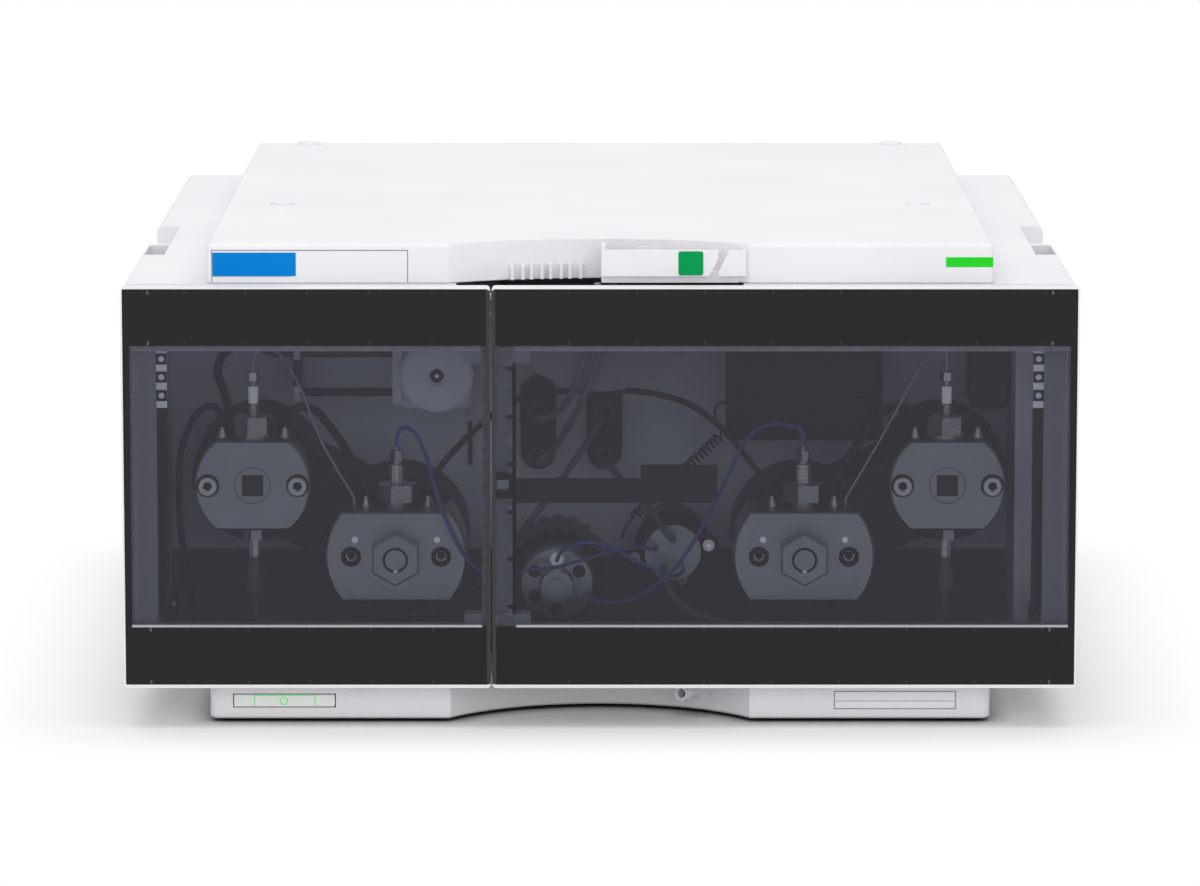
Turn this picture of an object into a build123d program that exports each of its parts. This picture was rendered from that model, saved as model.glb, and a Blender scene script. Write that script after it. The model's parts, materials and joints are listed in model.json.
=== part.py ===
from build123d import *
import os
from math import asin, atan2, cos, degrees, radians, sin, sqrt, tan

# Bench-top high-pressure pump module for liquid chromatography: a flat white cabinet with two
# smoked-glass doors, behind them a pump compartment with two channels of two pump heads each,
# and behind that the drives, the degasser, the fan and the electronics.
#
# Frame: origin on the table under the middle of the cabinet, +X right, +Y to the back, +Z up.
# Inside the compartment a place is often given by its depth behind the doors' front face.

os.makedirs("parts", exist_ok=True)

# ---------------------------------------------------------------- driving dimensions, mm
width = 396.0
depth = 436.0
foot_height = 1.5
cabinet_bottom = 17.3          # underside of the wide cabinet and of the doors
cabinet_top = 185.0            # top of the wide cabinet and of the doors
cover_height = 16.5            # the narrow top cover above the wide cabinet
body_half = 163.3              # half width of the base and of the top cover
seat_gap = 0.4                 # shadow gap between cover pieces
skin = 2.5                     # wall of the moulded covers

door_thickness = 13.0
door_gap = 1.0                 # between the closed doors and the cabinet
door_seam = -45.1              # X of the seam between the doors
seam_gap = 0.8
glass_thickness = 2.8
rim_side = 0.8                 # white rim seen round the glass
rim_top = 0.5
rim_bottom = 1.4
door_sill = 42.9               # lower edge of the door's window
door_lintel = 158.3            # upper edge of the door's window
outer_stile = 3.8
left_seam_stile = 3.4
right_seam_stile = 8.4
door_open_angle = 95.0

bezel_thickness = 2.5
opening_side = 13.6            # frame beside the compartment's opening
opening_bottom = 30.0
opening_top = 172.0
liner_wall = 2.0
compartment_depth = 108.0      # from the doors' front face to the rear wall of the compartment
ceiling = 178.0

recess_half = 62.6             # the arched recess in the middle of the front
top_recess_depth = 18.0
base_recess_depth = 32.0
base_wall = 3.0
base_floor = 2.0
base_top = 19.8
panel_thickness = 1.5

outer_head_x = 146.1
outer_head_z = 96.2
inner_head_x = 85.6
inner_head_z = 67.6
outer_head_radius = 24.4
inner_head_radius = 29.6
head_flat = 19.0               # half height between the flats of a pump head
outer_head_face = 40.0         # depths behind the doors' front face
inner_head_face = 30.0
head_back = 62.0
screw_offset = 18.9
plunger_stroke = 10.0
running_clearance = 0.05       # radial, for a shaft in its bore
free_clearance = 0.5           # around pieces that move past each other

# ---------------------------------------------------------------- places worked out from them
front = -depth / 2
back = depth / 2
cabinet_front = front + door_thickness + door_gap
body_front = cabinet_front + 1.0
bezel_back = cabinet_front + bezel_thickness
panel_front = back - panel_thickness
liner_back = front + compartment_depth           # front face of the compartment's rear wall
wall_back = liner_back + liner_wall
flange_top = cabinet_bottom + skin
half = width / 2
opening_half = half - opening_side              # half width of the compartment's opening
cover_top = cabinet_top + cover_height
flange_reach = body_half - 14.0                  # the side covers' flanges reach under the top cover


def at(x, behind, z):
    """A point given by its depth behind the doors' front face."""
    return (x, front + behind, z)


def facing_front(behind):
    """A plane across the cabinet: its sketches read X and Z, and extrude towards the doors."""
    return Plane.XZ.offset(-(front + behind))


def save(piece, name):
    """Labels a finished piece and writes it as one STEP file."""
    piece.label = name
    export_step(piece, f"parts/{name}.step")


def arched_outline(front_y, back_y, arch_depth):
    """Plan of the base and the top cover: a rectangle with an arch cut into its front edge."""
    with BuildSketch() as plan:
        with BuildLine():
            Polyline(
                (-recess_half, front_y),
                (-body_half, front_y),
                (-body_half, back_y),
                (body_half, back_y),
                (body_half, front_y),
                (recess_half, front_y),
            )
            ThreePointArc((-recess_half, front_y), (0, front_y + arch_depth), (recess_half, front_y))
        make_face()
    return plan.sketch


def arch_radius(arch_depth):
    """Radius of the arch in the front edge."""
    return (recess_half**2 + arch_depth**2) / (2 * arch_depth)


def outer_uprights(part, reach):
    """Vertical edges that lie further than reach from the middle."""
    return part.edges().filter_by(Axis.Z).filter_by(lambda edge: abs(edge.center().X) > reach)


# ================================================================ enclosure
# Base tray: a shallow moulded tray with the arch, the button's hole and the label's recess.
button_center_x = -132.1
button_center_z = 9.1
button_width = 43.0
button_height = 6.0
button_travel = 1.5
button_gap = 0.4
button_proud = 0.3
button_depth = 4.0
stem_radius = 2.0
stem_length = 14.0
stem_offset = 12.0
guide_start = 8.0              # guide block behind the base's front wall
guide_length = 4.0
label_center = (123.5, 9.3)
label_size = (51.6, 8.4)
label_sink = 0.3
drain_x = 41.0
drain_z = 10.4
drain_bore = 2.1
base_back = panel_front - 1.0

with BuildPart() as base_tray:
    with BuildSketch(Plane.XY.offset(foot_height)):
        add(arched_outline(body_front, base_back, base_recess_depth))
    extrude(amount=base_top - foot_height)
    fillet(outer_uprights(base_tray.part, recess_half + 1), 4.0)
    with BuildSketch(Plane.XY.offset(foot_height + base_floor)):
        offset(arched_outline(body_front, base_back, base_recess_depth), -base_wall)
    extrude(amount=base_top, mode=Mode.SUBTRACT)
    chamfer(base_tray.faces().sort_by(Axis.Z)[0].outer_wire().edges(), 0.8)
    with BuildSketch(Plane.XZ.offset(-body_front)):
        with Locations((button_center_x, button_center_z)):
            Rectangle(button_width, button_height)
    extrude(amount=-base_wall, mode=Mode.SUBTRACT)
    with BuildSketch(Plane.XZ.offset(-body_front)):
        with Locations(label_center):
            Rectangle(*label_size)
    extrude(amount=-label_sink, mode=Mode.SUBTRACT)
    with BuildSketch(Plane.XY.offset(foot_height + base_floor)):
        with Locations((button_center_x, body_front + base_wall + guide_start)):
            Rectangle(2 * stem_offset + 10, guide_length, align=(Align.CENTER, Align.MIN))
    extrude(amount=base_top - foot_height - base_floor - 1)
    with BuildSketch(Plane.XZ.offset(-(body_front + base_wall))):
        with Locations((button_center_x, button_center_z)):
            with GridLocations(2 * stem_offset, 1, 2, 1):
                Circle(stem_radius + running_clearance)
    extrude(amount=-(guide_start + guide_length), mode=Mode.SUBTRACT)
save(base_tray.part, "base_tray")

# Power button: a wide cap on two stems that slide in the base's guide block.
with BuildPart() as power_button:
    with BuildSketch(Plane.XZ.offset(-(body_front - button_proud))):
        with Locations((button_center_x, button_center_z)):
            RectangleRounded(button_width - 2 * button_gap, button_height - 2 * button_gap, 0.6)
    extrude(amount=-button_depth)
    fillet(power_button.faces().sort_by(Axis.Y)[0].edges(), 0.4)
    with BuildSketch(Plane.XZ.offset(-(body_front - button_proud + button_depth))):
        with Locations((button_center_x, button_center_z)):
            with GridLocations(2 * stem_offset, 1, 2, 1):
                Circle(stem_radius)
    extrude(amount=-stem_length)
save(power_button.part, "power_button")

# Rubber feet under the base, and the pads on the top cover that locate the next module.
foot_radius = 9.0
foot_x = 138.8
foot_front = front + 62.0
foot_back = back - 18.0
pad_radius = 5.2
pad_height = 1.3
pad_front = front + 162.0


def round_pads(bottom, height, radius, front_y, back_y):
    """Four round pads on the corners of a rectangle."""
    with BuildPart() as pads:
        with BuildSketch(Plane.XY.offset(bottom)):
            with Locations((0, (front_y + back_y) / 2)):
                with GridLocations(2 * foot_x, back_y - front_y, 2, 2):
                    Circle(radius)
        extrude(amount=height)
        fillet(pads.edges().filter_by(GeomType.CIRCLE).group_by(Axis.Z)[-1 if bottom > 0 else 0], 0.4)
    return pads.part


save(round_pads(0, foot_height, foot_radius, foot_front, foot_back - 10), "rubber_feet")
save(round_pads(cover_top, pad_height, pad_radius, pad_front, foot_back), "stacking_pads")

# Chassis plate: the sheet-metal floor that everything behind the bezel stands on.
plate_half = half - skin
chassis_top = base_top + panel_thickness
with BuildPart() as chassis_plate:
    with BuildSketch(Plane.XY.offset(base_top)):
        with Locations((0, (bezel_back + panel_front) / 2)):
            Rectangle(2 * plate_half, panel_front - bezel_back)
    extrude(amount=panel_thickness)
save(chassis_plate.part, "chassis_plate")

# Side covers: C-shaped mouldings with a grip notch and a catch pocket in the upper edge.
notch_start = front + 155.0
notch_end = front + 220.0
pocket_start = front + 115.0
pocket_end = front + 149.0
notch_width = 10.5
notch_drop = 12.0
pocket_drop = 20.0
pocket_side = 1.8              # wall left outside the catch pocket
corner_round = 3.0
cover_front = bezel_back + 0.2
cover_back = panel_front - 0.2
cover_length = cover_back - cover_front

with BuildPart() as left_side_cover:
    with BuildSketch(Plane.XZ.offset(-cover_back)):
        with BuildLine():
            Polyline(
                (-flange_reach, cabinet_top),
                (-half, cabinet_top),
                (-half, cabinet_bottom),
                (-body_half - seat_gap, cabinet_bottom),
                (-body_half - seat_gap, flange_top),
                (-half + skin, flange_top),
                (-half + skin, cabinet_top - skin),
                (-flange_reach, cabinet_top - skin),
                close=True,
            )
        make_face()
    extrude(amount=cover_length)
    fillet(
        left_side_cover.edges().filter_by(Axis.Y).group_by(Axis.X)[0],
        corner_round,
    )
    # block that holds the grip notch and the pocket
    with BuildSketch(Plane.XY.offset(cabinet_top - skin - pocket_drop)):
        with Locations((-half + skin, (pocket_start + notch_end) / 2)):
            Rectangle(
                notch_width + skin,
                notch_end - pocket_start + 2 * skin,
                align=(Align.MIN, Align.CENTER),
            )
    extrude(amount=pocket_drop)
    with BuildSketch(Plane.XY.offset(cabinet_top - notch_drop)):
        with Locations((-half - 1, notch_start)):
            Rectangle(notch_width + 1, notch_end - notch_start, align=(Align.MIN, Align.MIN))
    extrude(amount=notch_drop, mode=Mode.SUBTRACT)
    with BuildSketch(Plane.XY.offset(cabinet_top - pocket_drop)):
        with Locations((-half + pocket_side, pocket_start)):
            Rectangle(notch_width - pocket_side, pocket_end - pocket_start, align=(Align.MIN, Align.MIN))
    extrude(amount=pocket_drop, mode=Mode.SUBTRACT)
    # catch tongue standing in the pocket
    with BuildSketch(Plane.XY.offset(cabinet_top - pocket_drop)):
        with Locations((-half + notch_width - 4, (pocket_start + pocket_end) / 2)):
            Rectangle(4, 3, align=(Align.MIN, Align.CENTER))
    extrude(amount=pocket_drop - 3)
save(left_side_cover.part, "left_side_cover")

with BuildPart() as right_side_cover:
    mirror(left_side_cover.part, about=Plane.YZ)
save(right_side_cover.part, "right_side_cover")

# Front bezel: the frame round the compartment's opening that the doors close against.
with BuildPart() as front_bezel:
    with BuildSketch(Plane.XZ.offset(-cabinet_front)):
        with Locations((0, (base_top + seat_gap + cabinet_top) / 2)):
            RectangleRounded(width - 0.6, cabinet_top - base_top - seat_gap, 2.0)
        with Locations((0, (opening_bottom + opening_top) / 2)):
            RectangleRounded(2 * opening_half, opening_top - opening_bottom, 1.5, mode=Mode.SUBTRACT)
        # arch above the funnel, open to the recess in the top cover
        with Locations((0, cabinet_top)):
            Rectangle(2 * recess_half - 6, 12, align=(Align.CENTER, Align.MAX), mode=Mode.SUBTRACT)
    extrude(amount=-bezel_thickness)
save(front_bezel.part, "front_bezel")

# Top cover: a flat shell with the arched recess, and a comb of clip fingers on the arch's wall.
cover_bottom = cabinet_top + seat_gap
cover_rear = back - 9.0
fascia_left = -body_half + 2.6
fascia_right = -79.9
fascia_thickness = 1.6
finger_width = 1.4
finger_length = 4.0
finger_height = 5.8
finger_start = -36.5
finger_pitch = 8.0
finger_pair = 4.4
lamp_width = 20.0
lamp_height = 4.2
lamp_center_z = cover_top - 7.6
lamp_thickness = 2.0
lip_inset = 1.2                # the lip that carries the cover, set in from its outside
top_arch = arch_radius(top_recess_depth)
top_arch_center = body_front + top_recess_depth - top_arch
finger_places = [finger_start + finger_pitch * n + shift for n in range(4) for shift in (0, finger_pair)]

with BuildPart() as top_cover:
    with BuildSketch(Plane.XY.offset(cover_bottom)):
        add(arched_outline(body_front, cover_rear, top_recess_depth))
    extrude(amount=cover_top - cover_bottom)
    fillet(outer_uprights(top_cover.part, recess_half + 1), 2.0)
    fillet(
        top_cover.faces().sort_by(Axis.Z)[-1].outer_wire().edges().filter_by(
            lambda edge: abs(edge.center().X) > recess_half
        ),
        1.8,
    )
    with BuildSketch(Plane.XY.offset(cover_bottom)):
        offset(arched_outline(body_front, cover_rear, top_recess_depth), -skin)
    extrude(amount=cover_top - cover_bottom - skin, mode=Mode.SUBTRACT)
    with BuildSketch(Plane.XY.offset(cabinet_top)):
        offset(arched_outline(body_front, cover_rear, top_recess_depth), -lip_inset)
        offset(arched_outline(body_front, cover_rear, top_recess_depth), -skin, mode=Mode.SUBTRACT)
    extrude(amount=seat_gap)
    # seat of the fascia, open to the front
    with BuildSketch(Plane.XY.offset(cover_bottom)):
        with Locations((fascia_left - seat_gap, body_front)):
            Rectangle(
                fascia_right - fascia_left + 2 * seat_gap,
                fascia_thickness,
                align=(Align.MIN, Align.MIN),
            )
    extrude(amount=cover_top - cover_bottom - skin, mode=Mode.SUBTRACT)
    # seat of the status lamp in the right-hand corner
    with BuildSketch(Plane.XZ.offset(-body_front)):
        with Locations((body_half, lamp_center_z)):
            Rectangle(lamp_width, lamp_height, align=(Align.MAX, Align.CENTER))
    extrude(amount=-lamp_thickness, mode=Mode.SUBTRACT)
    # comb of clip fingers
    for x in finger_places:
        wall_y = top_arch_center + sqrt(top_arch**2 - x**2)
        with BuildSketch(Plane.XY.offset(cover_bottom)):
            with Locations((x, wall_y + 1)):
                Rectangle(finger_width, finger_length + 1, align=(Align.CENTER, Align.MAX))
        extrude(amount=finger_height)
save(top_cover.part, "top_cover")

# Left fascia: the clip-in strip with a shallow seat for a blank plate.
blank_plate_width = 32.5
blank_plate_z = (cover_bottom + 2.3, cover_bottom + 12.3)
with BuildPart() as left_fascia:
    with BuildSketch(Plane.XY.offset(cover_bottom)):
        with Locations((fascia_left, body_front)):
            Rectangle(fascia_right - fascia_left, fascia_thickness, align=(Align.MIN, Align.MIN))
    extrude(amount=cover_top - cover_bottom - skin - seat_gap)
    with BuildSketch(Plane.XZ.offset(-body_front)):
        with Locations((fascia_left, sum(blank_plate_z) / 2)):
            Rectangle(
                blank_plate_width,
                blank_plate_z[1] - blank_plate_z[0],
                align=(Align.MIN, Align.CENTER),
            )
    extrude(amount=-0.5, mode=Mode.SUBTRACT)
save(left_fascia.part, "left_fascia")

with BuildPart() as status_lamp:
    with BuildSketch(Plane.XZ.offset(-body_front)):
        with Locations((body_half - 0.3, lamp_center_z)):
            Rectangle(lamp_width - 0.6, lamp_height - 0.3, align=(Align.MAX, Align.CENTER))
    extrude(amount=-lamp_thickness)
    fillet(status_lamp.edges().filter_by(Axis.Z).sort_by(Axis.X)[-2:].sort_by(Axis.Y)[0], 1.2)
save(status_lamp.part, "status_lamp")

# Tube tray: an open box in the right half of the recess, with a slanted slit for tubes.
tray_left = 0.6
tray_right = 60.6
tray_wall = 1.6
tray_floor = cabinet_top + 3.0
tray_front_top = cover_top - 2.5
tray_side_top = cover_top - 0.5
tray_depth = 11.0
tray_step = 3.0
slit_top = tray_front_top + 0.5
slit_bottom = tray_floor - 0.5
slit = [
    (49.0, slit_top),
    (49.0, slit_top - 4.2),
    (44.9, slit_bottom),
    (49.0, slit_bottom),
    (49.0, slit_bottom + 2.0),
    (53.9, slit_top),
]
clip_x = 20.5

with BuildPart() as tube_tray:
    with BuildSketch(Plane.XY.offset(tray_floor)):
        with Locations((tray_left, body_front)):
            Rectangle(tray_right - tray_left, tray_depth, align=(Align.MIN, Align.MIN))
        add(
            arched_outline(body_front, cover_rear, top_recess_depth),
            mode=Mode.SUBTRACT,
        )
    extrude(amount=tray_side_top - tray_floor)
    with BuildSketch(Plane.XY.offset(tray_floor + tray_wall)):
        with Locations((tray_left + tray_wall, body_front + tray_wall)):
            Rectangle(tray_right - tray_left - 2 * tray_wall, tray_depth, align=(Align.MIN, Align.MIN))
    extrude(amount=tray_side_top, mode=Mode.SUBTRACT)
    with BuildSketch(Plane.XY.offset(tray_front_top)):
        with Locations((tray_left + tray_wall, body_front)):
            Rectangle(tray_right, tray_wall + 1, align=(Align.MIN, Align.MIN))
    extrude(amount=tray_side_top, mode=Mode.SUBTRACT)
    with BuildSketch(Plane.XZ.offset(-body_front)):
        with BuildLine():
            Polyline(*slit, close=True)
        make_face()
    extrude(amount=-tray_wall - 1, mode=Mode.SUBTRACT)
    # plinth that carries the tray on the bezel
    with BuildSketch(Plane.XY.offset(cabinet_top)):
        with Locations((tray_left, body_front + tray_step)):
            Rectangle(tray_right - tray_left, tray_depth - tray_step - 2, align=(Align.MIN, Align.MIN))
        add(
            arched_outline(body_front, cover_rear, top_recess_depth),
            mode=Mode.SUBTRACT,
        )
    extrude(amount=tray_floor - cabinet_top)
    # small bow that holds a tube on the tray's floor
    with BuildSketch(Plane.XZ.offset(-(body_front + tray_depth - 3))):
        with Locations((clip_x, tray_floor + tray_wall)):
            Rectangle(10.5, 10.0, align=(Align.CENTER, Align.MIN))
            Rectangle(7.5, 8.5, align=(Align.CENTER, Align.MIN), mode=Mode.SUBTRACT)
    extrude(amount=1.2)
save(tube_tray.part, "tube_tray")

# Drain spout: a curved plate on the arch's wall with the hose spigot square to it.
base_arch = arch_radius(base_recess_depth)
base_arch_center = body_front + base_recess_depth - base_arch
drain_angle = degrees(asin(drain_x / base_arch))
spout_plate = 1.2
spout_radius = 3.1
spout_length = 13.0
spout_collar = 3.7
drain_wall_y = base_arch_center + base_arch * cos(radians(drain_angle))
drain_plane = Plane(
    origin=(drain_x, drain_wall_y, drain_z),
    x_dir=(cos(radians(drain_angle)), -sin(radians(drain_angle)), 0),
    z_dir=(-sin(radians(drain_angle)), -cos(radians(drain_angle)), 0),
)
with BuildPart() as drain_spout:
    with BuildSketch(Plane.XY.offset(drain_z - 3.6)):
        with Locations((0, base_arch_center)):
            Circle(base_arch)
            Circle(base_arch - spout_plate, mode=Mode.SUBTRACT)
        with Locations((drain_x - 6.5, drain_wall_y)):
            Rectangle(24, 30, mode=Mode.INTERSECT)
    extrude(amount=8.0)
    with BuildSketch(drain_plane.offset(spout_plate / 2)):
        Circle(spout_radius)
    extrude(amount=spout_length - spout_plate / 2)
    with BuildSketch(drain_plane.offset(spout_length - 3.2)):
        Circle(spout_collar)
    extrude(amount=2.2, taper=14)
    with BuildSketch(drain_plane.offset(spout_length)):
        Circle(drain_bore)
    extrude(amount=-spout_length + spout_plate, mode=Mode.SUBTRACT)
save(drain_spout.part, "drain_spout")

# ================================================================ doors
hinge_x = half - 4.2
hinge_round = 3.8              # rear outer edge of each door, so that it turns clear of the bezel
corner_block = (7.5, 5.0)
hinge_behind = 9.0             # depth of the hinge axis behind the doors' front face
bracket_levels = (29.0, 173.0)
bracket_thickness = 3.0
bracket_half = 3.0
pin_radius = 1.5
pin_reach = 6.0
glass_gap = 0.15
rail_pitch = 20.0
rail_wall = 1.4                # dark strip along the seam edge of the right-hand window
rail_bottom = door_sill + corner_block[1] + 0.2
rail_top = door_lintel - corner_block[1] - 0.2
channel_left = -43.9           # channel in the right door's stile, behind its glass
channel_right = -38.4
channel_depth = 8.5
tab_thickness = 1.0
tab_height = 1.6
tab_levels = [rail_bottom + 3.0 + rail_pitch * n for n in range(6)]
latch_z = 101.8
latch_height = 10.8


def door_frame(left, right, window_left, window_right, hinge_side):
    """Moulded door frame: a plate with the window, a rim round the glass and the hinge slots."""
    middle = (left + right) / 2
    with BuildPart() as frame:
        with BuildSketch(facing_front(0)):
            with Locations((middle, (cabinet_bottom + cabinet_top) / 2)):
                RectangleRounded(right - left, cabinet_top - cabinet_bottom, 1.5)
        extrude(amount=-door_thickness)
        uprights = frame.edges().filter_by(Axis.Z).sort_by(Axis.X)
        outer_pair = uprights[-2:] if hinge_side > 0 else uprights[:2]
        fillet(outer_pair.sort_by(Axis.Y)[-1], hinge_round)
        glass_bottom = cabinet_bottom + rim_bottom
        glass_top = cabinet_top - rim_top
        with BuildSketch(facing_front(0)):
            with Locations((middle, (glass_bottom + glass_top) / 2)):
                Rectangle(right - left - 2 * rim_side, glass_top - glass_bottom)
        extrude(amount=-glass_thickness, mode=Mode.SUBTRACT)
        with BuildSketch(facing_front(glass_thickness)):
            with Locations(((window_left + window_right) / 2, (door_sill + door_lintel) / 2)):
                RectangleRounded(window_right - window_left, door_lintel - door_sill, 0.8)
        extrude(amount=-(door_thickness - glass_thickness), mode=Mode.SUBTRACT)
        # stiffening blocks in the window's corners beside the seam
        seam_x = window_right if hinge_side < 0 else window_left
        with BuildSketch(facing_front(door_thickness)):
            for level, side in ((door_sill, Align.MIN), (door_lintel, Align.MAX)):
                with Locations((seam_x, level)):
                    Rectangle(
                        corner_block[0],
                        corner_block[1],
                        align=(Align.MAX if hinge_side < 0 else Align.MIN, side),
                    )
        extrude(amount=door_thickness - glass_thickness - 1.2)
        # channel beside the seam, the seats of the rail's tabs and of the latch
        if hinge_side > 0:
            with BuildSketch(facing_front(glass_thickness)):
                with Locations((channel_left, (rail_bottom + rail_top) / 2)):
                    RectangleRounded(
                        channel_right - channel_left,
                        rail_top - rail_bottom,
                        1.5,
                        align=(Align.MIN, Align.CENTER),
                    )
            extrude(amount=-(channel_depth - glass_thickness), mode=Mode.SUBTRACT)
            with BuildSketch(facing_front(glass_thickness)):
                with Locations(*[(window_left, level) for level in tab_levels]):
                    Rectangle(window_left - channel_right, tab_height, align=(Align.MAX, Align.CENTER))
            extrude(amount=-tab_thickness, mode=Mode.SUBTRACT)
            with BuildSketch(facing_front(glass_thickness)):
                with Locations((channel_left, latch_z)):
                    Rectangle(window_left - channel_left, latch_height, align=(Align.MIN, Align.CENTER))
            extrude(amount=-(channel_depth - glass_thickness), mode=Mode.SUBTRACT)
        # weight-saving pockets in the back of the two rails
        pocket_columns = max(1, round((right - left) / 60))
        pocket_pitch = (right - left - 36) / pocket_columns
        for rail_z in ((cabinet_bottom + door_sill) / 2, (cabinet_top + door_lintel) / 2):
            with BuildSketch(facing_front(door_thickness)):
                with Locations((middle, rail_z)):
                    with GridLocations(pocket_pitch, 1, pocket_columns, 1):
                        RectangleRounded(pocket_pitch - 5, 13, 1.5)
            extrude(amount=6, mode=Mode.SUBTRACT)
        # slots for the hinge brackets, open to the back and to the outside, and the pins' bores
        hinge_at = hinge_side * hinge_x
        for level in bracket_levels:
            with BuildSketch(Plane.XY.offset(level - bracket_thickness / 2 - free_clearance)):
                with Locations((hinge_at - hinge_side * (bracket_half + 0.6), front + door_thickness + 1)):
                    Rectangle(
                        2 * bracket_half + 6,
                        door_thickness + 1 - hinge_behind + bracket_half + 0.9,
                        align=(Align.MIN if hinge_side > 0 else Align.MAX, Align.MAX),
                    )
            extrude(amount=bracket_thickness + 2 * free_clearance, mode=Mode.SUBTRACT)
            with BuildSketch(Plane.XY.offset(level - pin_reach - 0.5)):
                with Locations((hinge_at, front + hinge_behind)):
                    Circle(pin_radius + running_clearance)
            extrude(amount=2 * pin_reach + 1, mode=Mode.SUBTRACT)
    return frame.part


def door_glass(left, right):
    """Flat pane of smoked glass that fills the frame's rim."""
    glass_bottom = cabinet_bottom + rim_bottom + glass_gap
    glass_top = cabinet_top - rim_top - glass_gap
    with BuildPart() as glass:
        with BuildSketch(facing_front(glass_thickness)):
            with Locations(((left + right) / 2, (glass_bottom + glass_top) / 2)):
                RectangleRounded(right - left - 2 * (rim_side + glass_gap), glass_top - glass_bottom, 1.0)
        extrude(amount=glass_thickness)
        chamfer(glass.faces().sort_by(Axis.Y)[0].edges(), 0.3)
    return glass.part


left_door_edges = (-half, door_seam - seam_gap / 2)
right_door_edges = (door_seam + seam_gap / 2, half)
left_window = (left_door_edges[0] + outer_stile, left_door_edges[1] - left_seam_stile)
right_window = (right_door_edges[0] + right_seam_stile, right_door_edges[1] - outer_stile)
save(door_frame(*left_door_edges, *left_window, -1), "left_door_frame")
save(door_glass(*left_door_edges), "left_door_glass")
save(door_frame(*right_door_edges, *right_window, 1), "right_door_frame")
save(door_glass(*right_door_edges), "right_door_glass")

# Rail along the seam edge of the right-hand window: a dark strip with snap tabs and the latch.
latch_window = (-43.0, -37.8, 5.0)   # left, right and height of the latch's opening
latch_front = 4.0
with BuildPart() as right_door_rail:
    with BuildSketch(facing_front(glass_thickness)):
        with Locations((right_window[0], (rail_bottom + rail_top) / 2)):
            Rectangle(rail_wall, rail_top - rail_bottom, align=(Align.MIN, Align.CENTER))
    extrude(amount=-(door_thickness - glass_thickness))
    with BuildSketch(facing_front(glass_thickness)):
        with Locations(*[(right_window[0], level) for level in tab_levels]):
            Rectangle(right_window[0] - channel_right, tab_height, align=(Align.MAX, Align.CENTER))
    extrude(amount=-tab_thickness)
    with BuildSketch(facing_front(latch_front)):
        with Locations((channel_left, latch_z)):
            Rectangle(right_window[0] - channel_left, latch_height, align=(Align.MIN, Align.CENTER))
        with Locations((latch_window[0], latch_z)):
            Rectangle(
                latch_window[1] - latch_window[0],
                latch_window[2],
                align=(Align.MIN, Align.CENTER),
                mode=Mode.SUBTRACT,
            )
    extrude(amount=-(channel_depth - latch_front))
save(right_door_rail.part, "right_door_rail")

# Hinge brackets on the bezel, each with its pin.
with BuildPart() as hinge_brackets:
    for side in (-1, 1):
        for level in bracket_levels:
            with BuildSketch(Plane.XY.offset(level - bracket_thickness / 2)):
                with Locations((side * hinge_x, front + hinge_behind)):
                    Circle(bracket_half)
                    Rectangle(
                        2 * bracket_half,
                        cabinet_front - front - hinge_behind,
                        align=(Align.CENTER, Align.MIN),
                    )
            extrude(amount=bracket_thickness)
            with BuildSketch(Plane.XY.offset(level - pin_reach)):
                with Locations((side * hinge_x, front + hinge_behind)):
                    Circle(pin_radius)
            extrude(amount=2 * pin_reach)
save(hinge_brackets.part, "hinge_brackets")

# ================================================================ pump compartment
post_width = 7.5
post_left = opening_half - 9.0
post_front = 55.0
nose_radius = 9.0
port_block_width = 14.8
port_block_height = 39.3
port_block_z = 114.0
port_block_x = (-26.6, 1.8)
port_block_front = compartment_depth - 10.0
purge_x, purge_z = -18.2, 52.6
multi_x, multi_z = 30.9, 64.3
outer_nose = 27.0
inner_nose = 29.5
purge_drive = 20.5
multi_ring = 16.4
funnel_radius = 47.0
funnel_z = 183.8
funnel_front = 36.0
funnel_back = compartment_depth - 8.0
funnel_wall = 2.0
head_places = [
    (-outer_head_x, outer_head_z),
    (-inner_head_x, inner_head_z),
    (outer_head_x, outer_head_z),
    (inner_head_x, inner_head_z),
]

# Liner: the light moulded box of the compartment, open to the front and below.
liner_half = opening_half + liner_wall
duct_length = compartment_depth - post_front
mouth_half = funnel_radius - 4
mouth_length = front + funnel_back - bezel_back - 4
with BuildPart() as compartment_liner:
    with BuildSketch(Plane.XY.offset(chassis_top)):
        with Locations((0, wall_back)):
            Rectangle(2 * liner_half, wall_back - bezel_back, align=(Align.CENTER, Align.MAX))
    extrude(amount=ceiling + liner_wall - chassis_top)
    with BuildSketch(Plane.XY.offset(chassis_top)):
        with Locations((0, liner_back)):
            Rectangle(2 * opening_half, liner_back - bezel_back, align=(Align.CENTER, Align.MAX))
    extrude(amount=ceiling - chassis_top, mode=Mode.SUBTRACT)
    # tube duct in the right-hand corner
    with BuildSketch(Plane.XY.offset(chassis_top)):
        with Locations((post_left, front + post_front)):
            Rectangle(post_width, duct_length, align=(Align.MIN, Align.MIN))
        with Locations((post_left + 1.5, front + post_front + 1.5)):
            Rectangle(
                post_width - 3,
                duct_length - 3,
                align=(Align.MIN, Align.MIN),
                mode=Mode.SUBTRACT,
            )
    extrude(amount=ceiling - chassis_top)
    # passages for the drives' noses, the valves and the degasser's port blocks
    with BuildSketch(facing_front(compartment_depth)):
        with Locations(*head_places):
            Circle(nose_radius + 0.5)
        with Locations((purge_x, purge_z), (multi_x, multi_z)):
            Circle(6.0)
        with Locations(*[(x, port_block_z) for x in port_block_x]):
            SlotOverall(port_block_height + 0.6, port_block_width + 0.6, rotation=90)
    extrude(amount=-liner_wall, mode=Mode.SUBTRACT)
    # mouth over the funnel
    with BuildSketch(Plane.XY.offset(ceiling)):
        with Locations((0, bezel_back)):
            Rectangle(2 * mouth_half, mouth_length, align=(Align.CENTER, Align.MIN))
    extrude(amount=liner_wall, mode=Mode.SUBTRACT)
save(compartment_liner.part, "compartment_liner")

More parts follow.
